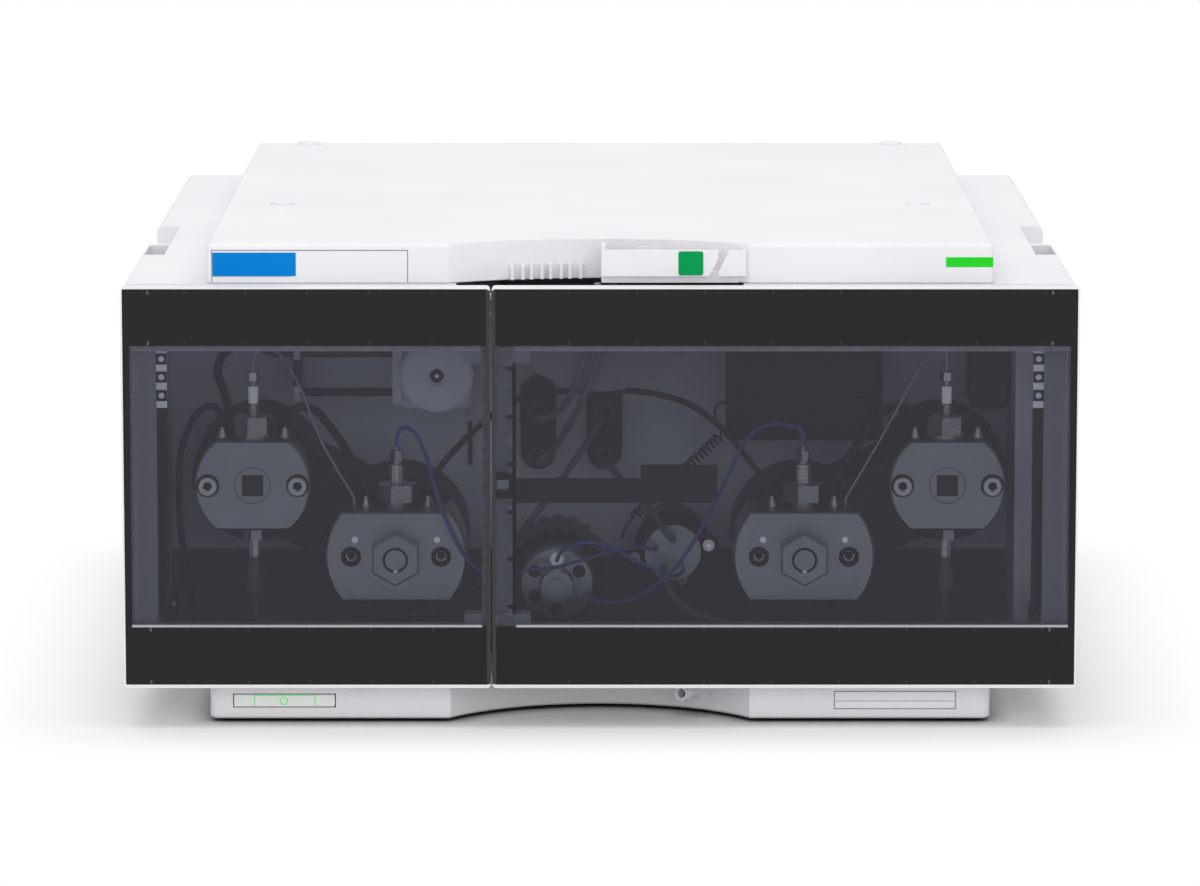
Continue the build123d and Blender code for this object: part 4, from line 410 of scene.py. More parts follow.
@dataclass(frozen=True)
class Tubing(Finish):
    """Drawn plastic tube: even colour, faint draw lines and a soft gloss."""

    colour: str = "9A9BA2"
    shade: str = "84858D"
    roughness: float = 0.25
    through: float = 0.0
    sleeve: str = ""                # colour of the push-on sleeves below the outer heads
    sleeve_top: float = 64.0
    sleeve_bottom: float = 50.0

    def surface(self, tree: bpy.types.NodeTree) -> bpy.types.NodeSocket:
        """Builds the tube shader.

        Args:
            tree: the material's tree.

        Returns:
            The shader's output socket.
        """
        place = add_node(tree, "ShaderNodeTexCoord").outputs["Object"]
        cloud = add_node(tree, "ShaderNodeTexNoise", None, {
            "Vector": place, "Scale": per_metre(9.0), "Detail": 2.0})
        tone = add_node(tree, "ShaderNodeMix", {"data_type": "RGBA"}, {
            0: cloud.outputs["Fac"], 6: linear(self.colour), 7: linear(self.shade)}).outputs[2]
        if self.sleeve:
            parts = add_node(tree, "ShaderNodeSeparateXYZ", None, {0: place})
            across = add_node(tree, "ShaderNodeMath", {"operation": "ABSOLUTE"}, {
                0: parts.outputs["X"]})
            near = add_node(tree, "ShaderNodeMath", {"operation": "COMPARE"}, {
                0: across.outputs[0], 1: 146.1 * MM, 2: 4.2 * MM})
            level = add_node(tree, "ShaderNodeMath", {"operation": "COMPARE"}, {
                0: parts.outputs["Z"], 1: (self.sleeve_top + self.sleeve_bottom) / 2 * MM,
                2: (self.sleeve_top - self.sleeve_bottom + 0.1) / 2 * MM})
            both = add_node(tree, "ShaderNodeMath", {"operation": "MULTIPLY"}, {
                0: near.outputs[0], 1: level.outputs[0]})
            tone = add_node(tree, "ShaderNodeMix", {"data_type": "RGBA"}, {
                0: both.outputs[0], 6: tone, 7: linear(self.sleeve)}).outputs[2]
        bump = add_node(tree, "ShaderNodeBump", None, {
            "Strength": 0.1, "Distance": 0.02 * MM, "Height": cloud.outputs["Fac"]})
        shader = add_node(tree, "ShaderNodeBsdfPrincipled", None, {
            "Base Color": tone, "Roughness": self.roughness, "IOR": 1.38,
            "Normal": bump.outputs["Normal"], "Transmission Weight": self.through,
            "Coat Weight": 0.2, "Coat Roughness": 0.1})
        return shader.outputs["BSDF"]


@dataclass(frozen=True)
class Board(Finish):
    """Circuit board: green solder mask over copper tracks."""

    mask: str = "1E5A34"
    track: str = "2F7A48"
    track_mm: float = 3.0

    def surface(self, tree: bpy.types.NodeTree) -> bpy.types.NodeSocket:
        """Builds the board shader.

        Args:
            tree: the material's tree.

        Returns:
            The shader's output socket.
        """
        place = add_node(tree, "ShaderNodeTexCoord").outputs["Object"]
        turned = add_node(tree, "ShaderNodeMapping", None, {
            "Vector": place, "Rotation": (math.radians(90), 0, 0)})
        tracks = add_node(tree, "ShaderNodeTexBrick", None, {
            "Vector": turned.outputs[0], "Scale": per_metre(self.track_mm * 2),
            "Mortar Size": 0.06, "Mortar Smooth": 0.2, "Color1": linear(self.mask),
            "Color2": linear("1A5230"), "Mortar": linear(self.track)})
        bump = add_node(tree, "ShaderNodeBump", None, {
            "Strength": 0.3, "Distance": 0.05 * MM, "Height": tracks.outputs["Fac"]})
        shader = add_node(tree, "ShaderNodeBsdfPrincipled", None, {
            "Base Color": tracks.outputs["Color"], "Roughness": 0.3,
            "Normal": bump.outputs["Normal"]})
        return shader.outputs["BSDF"]


# Moulded ABS: neutral white, eggshell gloss, fine even grain.
ABS_WHITE = Moulded("abs_moulded_white")
# Same resin in the doors' rims and the small clip-in pieces, a touch smoother.
ABS_WHITE_SMOOTH = Moulded("abs_moulded_white_smooth", roughness=0.42, grain_mm=1.4)
# Vacuum-formed polystyrene: the light inner walls of the compartment.
LINER = Moulded("polystyrene_formed_liner", colour="F1F1F6", shade="E8E9F0", roughness=0.55)
# Moulded PC blend, anthracite: leak pan.
PC_DARK = Moulded("pc_moulded_anthracite", colour="56605E", shade="4A5452", roughness=0.45)
# The same in near black: the rail inside the right door's edge.
PC_BLACK = Moulded("pc_moulded_black", colour="202023", shade="19191C", roughness=0.4)
# Moulded nylon, black: shrouds, sensor, knobs and sockets.
NYLON_BLACK = Moulded("nylon_moulded_black", colour="1D1D20", shade="151517", roughness=0.5,
                      grain_mm=1.2)
# Powder-coated sheet steel, satin black: mixer block.
POWDER_BLACK = Moulded("powder_coated_steel_black", colour="17171A", shade="101012",
                       roughness=0.6, grain_mm=1.6, grain_depth=0.05)
# The same on the catch arm, whose web to the rear wall is light like the wall.
ARM_BLACK = Moulded("powder_coated_steel_arm", colour="17171A", shade="101012", roughness=0.6,
                    grain_mm=1.6, grain_depth=0.05, light_from=27.2)
# Silicone rubber feet.
RUBBER = Moulded("silicone_rubber_grey", colour="2B2B2D", shade="222224", roughness=0.8)
# Polypropylene funnel, grey.
FUNNEL_GREY = Moulded("polypropylene_moulded_grey", colour="8A8B90", shade="7B7C82",
                      roughness=0.4)
# Acetal cover of the seal-wash pump, bright white.
ACETAL_WHITE = Moulded("acetal_turned_white", colour="F4F5FA", shade="ECEDF4", roughness=0.35)
# Frosted polycarbonate push button.
BUTTON = Moulded("polycarbonate_frosted", colour="F0F2F0", shade="E8EAE8", roughness=0.35)
# Wire-drawn and ground stainless steel.
STEEL_GROUND = Metal("stainless_steel_ground")
STEEL_TURNED = Metal("stainless_steel_turned", colour="C6C4BF", shade="AEADA9", roughness=0.26,
                     marks=Marks.BLASTED)
STEEL_SHEET = Metal("zinc_plated_sheet", colour="B4B6B8", shade="A2A4A8", roughness=0.42,
                    marks=Marks.ROLLED, pitch_mm=2.5)
ALUMINIUM = Metal("aluminium_anodised", colour="A9ABAF", shade="98999E", roughness=0.45,
                  marks=Marks.BLASTED, pitch_mm=1.2)
GLASS = SmokedGlass("acrylic_smoked_printed")
LAMP = Lit("status_light_pipe")
GLOW = Lit("button_light_pipe", colour="3FDE50", core="66F072", strength=0.95)
TUBE_BLACK = Tubing("silicone_tube_black", colour="1E1F22", shade="17181B", roughness=0.4)
TUBE_CLEAR = Tubing("fep_tube_clear", colour="77787F", shade="66676E", roughness=0.15,
                    sleeve="6E675F")
TUBE_BLUE = Tubing("peek_tube_blue", colour="5266AE", shade="485CA2", roughness=0.3)
BOARD = Board("glass_epoxy_board_green")
# Polyester label films.
FILM_BLUE = Moulded("polyester_film_blue", colour="0080D2", shade="007AC8", roughness=0.4,
                    grain_mm=3.0, ior=1.15)
FILM_GREEN = Moulded("polyester_film_green", colour="049A52", shade="03944D", roughness=0.4,
                     grain_mm=3.0, ior=1.15)
FILM_SILVER = Moulded("polyester_film_silver", colour="F0F0F3", shade="E6E6EA", roughness=0.35,
                      grain_mm=3.0)
FILM_DARK = Moulded("anodised_plate_dark", colour="232326", shade="1B1B1E", roughness=0.4)
INK_DARK = Moulded("screen_ink_dark", colour="55555A", shade="4C4C52", roughness=0.5)
# Inks of the ticks on the doors' enamel and of the edges beside their seam.
INK_PALE = Moulded("screen_ink_pale", colour="302F32", shade="2A292C", roughness=0.5)
INK_LIGHT = Moulded("screen_ink_light", colour="5E5E62", shade="565659", roughness=0.5)
# White film on the strips beside the opening, with painted glow: its emission makes it much
# brighter than plain white.
FILM_WHITE_PAINTED_GLOW = Moulded("white_film_painted_glow", colour="FFFFFF", shade="F4F4F8",
                      roughness=0.5, grain_mm=0.6, glow=0.42)
# Painted highlight: a light band along the lower edge of the doors' window, in place of the lit
# sill behind the glass.
EDGE_PAINTED_HIGHLIGHT = Moulded("lower_edge_painted_highlight", colour="AAACB5", shade="A2A4AE", roughness=0.2)
# Black-oxide steel of the rear fan screws; also painted shade: the dark sunk screws, the dark rims
# round the bright ones, grooves, sockets and port holes.
STEEL_BLACK_AND_PAINTED_SHADE = Metal("black_oxide_steel_and_painted_shade", colour="1C1C1F", shade="151517", roughness=0.38,
                        marks=Marks.BLASTED)
# Drawn capillary, darkened as painted shade for the shadow that the coil lies in.
STEEL_PAINTED_SHADE = Metal("stainless_capillary_painted_shade", colour="5E5D5F", shade="4E4D50", roughness=0.4,
                   marks=Marks.BLASTED)
# Polished stainless steel: pins and nut faces that catch the light.
STEEL_POLISHED = Metal("stainless_steel_polished", colour="F2F1EE", shade="E4E3E0",
                       roughness=0.16, marks=Marks.BLASTED, depth=0.005)
# Gold-plated brass contacts.
CONTACT = Metal("brass_contact_gilt", colour="C9A86A", shade="B89557", roughness=0.3,
                marks=Marks.BLASTED)
# Sintered alumina: pins, sleeves, nuts and white dots, with painted glow: emission stands in for
# their highlights behind the smoked glass.
CERAMIC_PAINTED_GLOW = Moulded("alumina_ceramic_painted_glow", colour="FFFFFF", shade="F6F6FA", roughness=0.3,
                  glow=0.3)
# Natural peek rings of the degasser's ports.
PEEK_NATURAL = Moulded("peek_turned_natural", colour="5C5548", shade="524C40", roughness=0.4)


def turned_head(name: str, x: float, z: float, black_from: float = 0.0) -> Metal:
    """Gives the turned stainless steel of a pump head or a valve.

    Args:
        name: the finish's name.
        x: the turning axis across, mm.
        z: the turning axis' height, mm.
        black_from: depth from which the part is anodised black, mm.

    Returns:
        The finish, with its rings round that axis.
    """
    return Metal(name, colour="BEC3C5", shade="ABB0B2", roughness=0.32, marks=Marks.TURNED,
                 center=(x, 0.0, z), pitch_mm=0.9, depth=0.005, black_from=black_from)


# ---------------------------------------------------------------- mesh tools
class Piece:
    """Collects faces in bmesh and turns them into a finished piece."""

    def __init__(self, name: str) -> None:
        """Starts an empty piece.

        Args:
            name: the piece's name.
        """
        self.name = name
        self.mesh = bmesh.new()

    def slab(self, outline: Sequence[tuple[float, float]], front: float, back: float) -> "Piece":
        """Adds a slab across the cabinet.

        Args:
            outline: X and Z of its corners, mm, in order.
            front: Y of its front face, mm.
            back: Y of its back face, mm.

        Returns:
            This piece.
        """
        near = [self.mesh.verts.new(Vector((x, front, z)) * MM) for x, z in outline]
        far = [self.mesh.verts.new(Vector((x, back, z)) * MM) for x, z in outline]
        self.mesh.faces.new(near)
        self.mesh.faces.new(far[::-1])
        for i in range(len(near)):
            j = (i + 1) % len(near)
            self.mesh.faces.new((near[j], near[i], far[i], far[j]))
        return self

    def ring(self, x: float, z: float, outer: float, inner: float, front: float, back: float,
             start: float = 0.0, end: float = 360.0, steps: int = 48) -> "Piece":
        """Adds a flat ring, or a part of one, across the cabinet.

        Args:
            x: middle across, mm.
            z: middle height, mm.
            outer: outer radius, mm.
            inner: inner radius, mm.
            front: Y of its front face, mm.
            back: Y of its back face, mm.
            start: first angle, degrees.
            end: last angle, degrees.
            steps: number of straight runs.

        Returns:
            This piece.
        """
        whole = abs(end - start) >= 359.9
        count = steps if whole else steps + 1
        loops = []
        for radius, y in ((outer, front), (outer, back), (inner, back), (inner, front)):
            loop = []
            for n in range(count):
                angle = math.radians(start + (end - start) * n / steps)
                loop.append(self.mesh.verts.new(Vector((
                    x + radius * math.cos(angle), y, z + radius * math.sin(angle))) * MM))
            loops.append(loop)
        for k in range(4):
            first, second = loops[k], loops[(k + 1) % 4]
            for n in range(steps):
                m = (n + 1) % count
                self.mesh.faces.new((first[n], first[m], second[m], second[n]))
        if not whole:
            self.mesh.faces.new([loop[0] for loop in loops])
            self.mesh.faces.new([loop[-1] for loop in loops[::-1]])
        return self

    def finish(self, finish: Finish, body: str, slot: str, bevel: float = 0.0) -> bpy.types.Object:
        """Makes the object, dresses it and hands it to its body.

        Args:
            finish: what it is made of.
            body: the body it moves with.
            slot: the record's material slot; not used.
            bevel: width of its rounded edges, mm.

        Returns:
            The finished object.
        """
        bmesh.ops.remove_doubles(self.mesh, verts=self.mesh.verts, dist=1e-7)
        bmesh.ops.recalc_face_normals(self.mesh, faces=self.mesh.faces)
        mesh = bpy.data.meshes.new(self.name)
        self.mesh.to_mesh(mesh)
        self.mesh.free()
        return dressed(self.name, mesh, finish, body, bevel)


def dressed(name: str, mesh: bpy.types.Mesh, finish: Finish, body: str,
            bevel: float = 0.0) -> bpy.types.Object:
    """Links a mesh as a piece of the object.

    Args:
        name: the piece's name.
        mesh: its mesh, in place.
        finish: what it is made of.
        body: the body it moves with.
        bevel: width of its rounded edges, mm.

    Returns:
        The object.
    """
    piece = bpy.data.objects.new(name, mesh)
    bpy.context.scene.collection.objects.link(piece)
    mesh.materials.clear()
    mesh.materials.append(finish.material())
    for face in mesh.polygons:
        face.material_index = 0
    if bevel:
        edge = piece.modifiers.new("edge", "BEVEL")
        edge.width = bevel * MM
        edge.segments = 2
        edge.limit_method = "ANGLE"
    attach(piece, body)
    LOG.info("piece %s rides on %s", name, body)
    return piece


def rounded(x: float, z: float, width: float, height: float, radius: float,
            steps: int = 5) -> list[tuple[float, float]]:
    """Gives the corners of a rounded rectangle.

    Args:
        x: middle across, mm.
        z: middle height, mm.
        width: size across, mm.
        height: size up, mm.
        radius: corner radius, mm.
        steps: straight runs for each corner.

    Returns:
        X and Z of its outline, anticlockwise.
    """
    outline = []
    for n, (sx, sz) in enumerate(((1, 1), (-1, 1), (-1, -1), (1, -1))):
        for k in range(steps + 1):
            angle = math.radians(90 * n + 90 * k / steps)
            outline.append((x + sx * (width / 2 - radius) + radius * math.cos(angle),
                            z + sz * (height / 2 - radius) + radius * math.sin(angle)))
    return outline


def disc(x: float, z: float, radius: float) -> list[tuple[float, float]]:
    """Gives the corners of a round outline.

    Args:
        x: middle across, mm.
        z: middle height, mm.
        radius: its radius, mm.

    Returns:
        X and Z of its outline, anticlockwise.
    """
    return rounded(x, z, 2 * radius, 2 * radius, radius * 0.999, 8)


# ---------------------------------------------------------------- geometry trees
def new_tree(name: str, inputs: Sequence[tuple[str, str]]) -> tuple[
        bpy.types.NodeTree, bpy.types.Node]:
    """Starts a geometry tree with named inputs.

    Args:
        name: the tree's name.
        inputs: name and socket type of each input.

    Returns:
        The tree and its input node.
    """
    tree = bpy.data.node_groups.new(name, "GeometryNodeTree")
    tree.interface.new_socket("Geometry", in_out="INPUT", socket_type="NodeSocketGeometry")
    for label, kind in inputs:
        tree.interface.new_socket(label, in_out="INPUT", socket_type=kind)
    tree.interface.new_socket("Geometry", in_out="OUTPUT", socket_type="NodeSocketGeometry")
    return tree, add_node(tree, "NodeGroupInput")


def end_tree(tree: bpy.types.NodeTree, result: bpy.types.NodeSocket,
             material: bpy.types.NodeSocket) -> None:
    """Ends a geometry tree: instances made real, flat faces kept, material set.

    Args:
        tree: the tree.
        result: geometry to finish.
        material: socket that holds the material.
    """
    real = add_node(tree, "GeometryNodeRealizeInstances", None, {"Geometry": result})
    painted = add_node(tree, "GeometryNodeSetMaterial", None, {
        "Geometry": real.outputs[0], "Material": material})
    add_node(tree, "NodeGroupOutput", None, {"Geometry": painted.outputs[0]})


def end_on_points(tree: bpy.types.NodeTree, given: bpy.types.Node,
                  instance: bpy.types.NodeSocket, turn: Any = (0.0, 0.0, 0.0)) -> None:
    """Ends a geometry tree with one instance on each point that it is given.

    Args:
        tree: the tree.
        given: its input node.
        instance: what stands on each point.
        turn: turn of each instance, radians, or the socket that gives it.
    """
    points = add_node(tree, "GeometryNodeMeshToPoints", None, {
        "Mesh": given.outputs["Geometry"]})
    placed = add_node(tree, "GeometryNodeInstanceOnPoints", None, {
        "Points": points.outputs[0], "Instance": instance, "Rotation": turn})
    end_tree(tree, placed.outputs[0], given.outputs["Material"])


def grown(tree: bpy.types.NodeTree, places: Sequence[Vector], sizes: dict[str, Any],
          name: str) -> bpy.types.Mesh:
    """Runs a geometry tree on a set of points and gives its mesh.

    Args:
        tree: the geometry tree.
        places: points in metres.
        sizes: value of each named input.
        name: name of the mesh.

    Returns:
        A plain mesh.
    """
    seed = bpy.data.meshes.new(name + "_places")
    seed.from_pydata([tuple(p) for p in places], [], [])
    host = bpy.data.objects.new(name + "_host", seed)
    bpy.context.scene.collection.objects.link(host)
    build = host.modifiers.new("build", "NODES")
    build.node_group = tree
    for item in tree.interface.items_tree:
        if item.item_type == "SOCKET" and item.in_out == "INPUT" and item.name in sizes:
            build[item.identifier] = sizes[item.name]
    host.update_tag()
    graph = bpy.context.evaluated_depsgraph_get()
    mesh = bpy.data.meshes.new_from_object(host.evaluated_get(graph))
    mesh.name = name
    bpy.data.objects.remove(host)
    bpy.data.meshes.remove(seed)
    return mesh


FLOAT, INT, VECTOR, MATERIAL = (
    "NodeSocketFloat", "NodeSocketInt", "NodeSocketVector", "NodeSocketMaterial")


def screw_tree() -> bpy.types.NodeTree:
    """Builds the tree of round screw heads with a hexagon socket, one on each point.

    Returns:
        The tree.
    """
    found = bpy.data.node_groups.get("screw_heads")
    if found is not None:
        return found
    tree, given = new_tree("screw_heads", [
        ("Head radius", FLOAT), ("Head height", FLOAT), ("Socket radius", FLOAT),
        ("Turn", VECTOR), ("Material", MATERIAL)])
    head = add_node(tree, "GeometryNodeMeshCylinder", {"fill_type": "NGON"}, {
        "Vertices": 32, "Radius": given.outputs["Head radius"],
        "Depth": given.outputs["Head height"]})
    bore = add_node(tree, "GeometryNodeMeshCylinder", {"fill_type": "NGON"}, {
        "Vertices": 6, "Radius": given.outputs["Socket radius"],
        "Depth": given.outputs["Head height"]})
    half = add_node(tree, "ShaderNodeMath", {"operation": "MULTIPLY"}, {
        0: given.outputs["Head height"], 1: 0.45})
    lift = add_node(tree, "ShaderNodeCombineXYZ", None, {"Z": half.outputs[0]})
    raised = add_node(tree, "GeometryNodeTransform", None, {
        "Geometry": bore.outputs["Mesh"], "Translation": lift.outputs[0]})
    cut = add_node(tree, "GeometryNodeMeshBoolean", {"operation": "DIFFERENCE"}, {
        "Mesh 1": head.outputs["Mesh"], "Mesh 2": raised.outputs[0]})
    end_on_points(tree, given, cut.outputs["Mesh"], given.outputs["Turn"])
    return tree


def screws(name: str, places: Sequence[Vector], radius: float, height: float, socket: float,
           turn: Point, finish: Finish, body: str) -> bpy.types.Object:
    """Makes a set of screw heads that stand on the given points.

    Args:
        name: the piece's name.
        places: middle of each head, metres.
        radius: head radius, mm.
        height: head height, mm.
        socket: corner radius of the hexagon socket, mm.
        turn: turn of the head's axis from Z, degrees.
        finish: what they are made of.
        body: the body they move with.

    Returns:
        The finished piece.
    """
    mesh = grown(screw_tree(), places, {
        "Head radius": radius * MM, "Head height": height * MM, "Socket radius": socket * MM,
        "Turn": tuple(math.radians(a) for a in turn), "Material": finish.material()}, name)
    return dressed(name, mesh, finish, body, bevel=min(0.25, height / 4))


def bar_tree() -> bpy.types.NodeTree:
    """Builds the tree of small bars, one on each point.

    Returns:
        The tree.
    """
    found = bpy.data.node_groups.get("small_bars")
    if found is not None:
        return found
    tree, given = new_tree("small_bars", [("Size", VECTOR), ("Material", MATERIAL)])
    bar = add_node(tree, "GeometryNodeMeshCube", None, {"Size": given.outputs["Size"]})
    end_on_points(tree, given, bar.outputs["Mesh"])
    return tree


def bars(name: str, places: Sequence[Vector], size: Point, finish: Finish, body: str,
         bevel: float = 0.1) -> bpy.types.Object:
    """Makes a set of small bars centred on the given points.

    Args:
        name: the piece's name.
        places: middle of each bar, metres.
        size: size of a bar, mm.
        finish: what they are made of.
        body: the body they move with.
        bevel: width of their rounded edges, mm.

    Returns:
        The finished piece.
    """
    mesh = grown(bar_tree(), places, {
        "Size": tuple(s * MM for s in size), "Material": finish.material()}, name)
    return dressed(name, mesh, finish, body, bevel)


def collar_tree() -> bpy.types.NodeTree:
    """Builds the tree of turned sleeves, nuts and cones standing along Z, one on each point.

    Returns:
        The tree.
    """
    found = bpy.data.node_groups.get("turned_collars")
    if found is not None:
        return found
    tree, given = new_tree("turned_collars", [
        ("Sides", INT), ("Lower radius", FLOAT), ("Upper radius", FLOAT), ("Length", FLOAT),
        ("Material", MATERIAL)])
    cone = add_node(tree, "GeometryNodeMeshCone", {"fill_type": "NGON"}, {
        "Vertices": given.outputs["Sides"], "Radius Bottom": given.outputs["Lower radius"],
        "Radius Top": given.outputs["Upper radius"], "Depth": given.outputs["Length"]})
    end_on_points(tree, given, cone.outputs["Mesh"])
    return tree


def collars(name: str, places: Sequence[Vector], sides: int, lower: float, upper: float,
            length: float, finish: Finish, body: str) -> bpy.types.Object:
    """Makes a set of sleeves, nuts or cones that stand on the given points.

    Args:
        name: the piece's name.
        places: middle of each foot, metres.
        sides: number of sides; 6 for a nut.
        lower: radius at the foot, mm.
        upper: radius at the top, mm.
        length: height, mm.
        finish: what they are made of.
        body: the body they move with.

    Returns:
        The finished piece.
    """
    mesh = grown(collar_tree(), places, {
        "Sides": sides, "Lower radius": lower * MM, "Upper radius": upper * MM,
        "Length": length * MM, "Material": finish.material()}, name)
    return dressed(name, mesh, finish, body, bevel=0.15)


def knurl_tree() -> bpy.types.NodeTree:
    """Builds the tree of knurled sleeves: rows of small raised pads round a cylinder.

    Returns:
        The tree.
    """
    tree, given = new_tree("knurled_sleeves", [
        ("Radius", FLOAT), ("Length", FLOAT), ("Columns", INT), ("Rows", INT), ("Rise", FLOAT),
        ("Material", MATERIAL)])
    tube = add_node(tree, "GeometryNodeMeshCylinder", {"fill_type": "NGON"}, {
        "Vertices": given.outputs["Columns"], "Side Segments": given.outputs["Rows"],
        "Radius": given.outputs["Radius"], "Depth": given.outputs["Length"]})
    pads = add_node(tree, "GeometryNodeExtrudeMesh", {"mode": "FACES"}, {
        "Mesh": tube.outputs["Mesh"], "Selection": tube.outputs["Side"],
        "Offset Scale": given.outputs["Rise"], "Individual": True})
    narrowed = add_node(tree, "GeometryNodeScaleElements", {"domain": "FACE"}, {
        "Geometry": pads.outputs["Mesh"], "Selection": pads.outputs["Top"], "Scale": 0.7})
    end_on_points(tree, given, narrowed.outputs[0])
    return tree


def clip_tree() -> bpy.types.NodeTree:
    """Builds the tree of flat clips with a round hole, one on each point.

    Returns:
        The tree.
    """
    tree, given = new_tree("flat_clips", [
        ("Width", FLOAT), ("Height", FLOAT), ("Hole radius", FLOAT), ("Thickness", FLOAT),
        ("Material", MATERIAL)])
    plate = add_node(tree, "GeometryNodeCurvePrimitiveQuadrilateral", {"mode": "RECTANGLE"}, {
        "Width": given.outputs["Width"], "Height": given.outputs["Height"]})
    corners = add_node(tree, "GeometryNodeFilletCurve", {"mode": "POLY"}, {
        "Curve": plate.outputs[0], "Count": 4, "Radius": 0.5 * MM})
    hole = add_node(tree, "GeometryNodeCurvePrimitiveCircle", None, {
        "Resolution": 28, "Radius": given.outputs["Hole radius"]})
    both = add_node(tree, "GeometryNodeJoinGeometry")
    for curve in (hole.outputs["Curve"], corners.outputs[0]):
        tree.links.new(curve, both.inputs[0])
    face = add_node(tree, "GeometryNodeFillCurve", {"mode": "NGONS"}, {"Curve": both.outputs[0]})
    solid = add_node(tree, "GeometryNodeExtrudeMesh", {"mode": "FACES"}, {
        "Mesh": face.outputs[0], "Offset Scale": given.outputs["Thickness"],
        "Individual": False})
    end_on_points(tree, given, solid.outputs["Mesh"], (math.radians(90), 0, 0))
    return tree


def coil_tree() -> bpy.types.NodeTree:
    """Builds the tree of a close wire helix along Z.

    Returns:
        The tree.
    """
    tree, given = new_tree("wire_coil", [
        ("Turns", FLOAT), ("Radius", FLOAT), ("Length", FLOAT), ("Wire radius", FLOAT),
        ("Material", MATERIAL)])
    helix = add_node(tree, "GeometryNodeCurveSpiral", None, {
        "Resolution": 20, "Rotations": given.outputs["Turns"],
        "Start Radius": given.outputs["Radius"], "End Radius": given.outputs["Radius"],
        "Height": given.outputs["Length"]})
    profile = add_node(tree, "GeometryNodeCurvePrimitiveCircle", None, {
        "Resolution": 8, "Radius": given.outputs["Wire radius"]})
    wire = add_node(tree, "GeometryNodeCurveToMesh", None, {
        "Curve": helix.outputs["Curve"], "Profile Curve": profile.outputs["Curve"],
        "Fill Caps": True})
    smooth = add_node(tree, "GeometryNodeSetShadeSmooth", None, {
        "Geometry": wire.outputs["Mesh"], "Shade Smooth": True})
    end_tree(tree, smooth.outputs[0], given.outputs["Material"])
    return tree


def smooth_tree() -> bpy.types.NodeTree:
    """Builds the live tree that joins a node's loose triangles and smooths its curved faces.

    Returns:
        The tree.
    """
    found = bpy.data.node_groups.get("smooth_by_angle")
    if found is not None:
        return found
    tree, given = new_tree("smooth_by_angle", [("Angle", FLOAT)])
    joined = add_node(tree, "GeometryNodeMergeByDistance", None, {
        "Geometry": given.outputs["Geometry"], "Distance": 1e-6})
    edge = add_node(tree, "GeometryNodeInputMeshEdgeAngle")
    soft = add_node(tree, "FunctionNodeCompare", {
        "data_type": "FLOAT", "operation": "LESS_EQUAL"}, {
            0: edge.outputs["Unsigned Angle"], 1: given.outputs["Angle"]})
    faces = add_node(tree, "GeometryNodeSetShadeSmooth", {"domain": "FACE"}, {
        "Geometry": joined.outputs[0], "Shade Smooth": True})
    edges = add_node(tree, "GeometryNodeSetShadeSmooth", {"domain": "EDGE"}, {
        "Geometry": faces.outputs[0], "Shade Smooth": soft.outputs["Result"]})
    add_node(tree, "NodeGroupOutput", None, {"Geometry": edges.outputs[0]})
    return tree


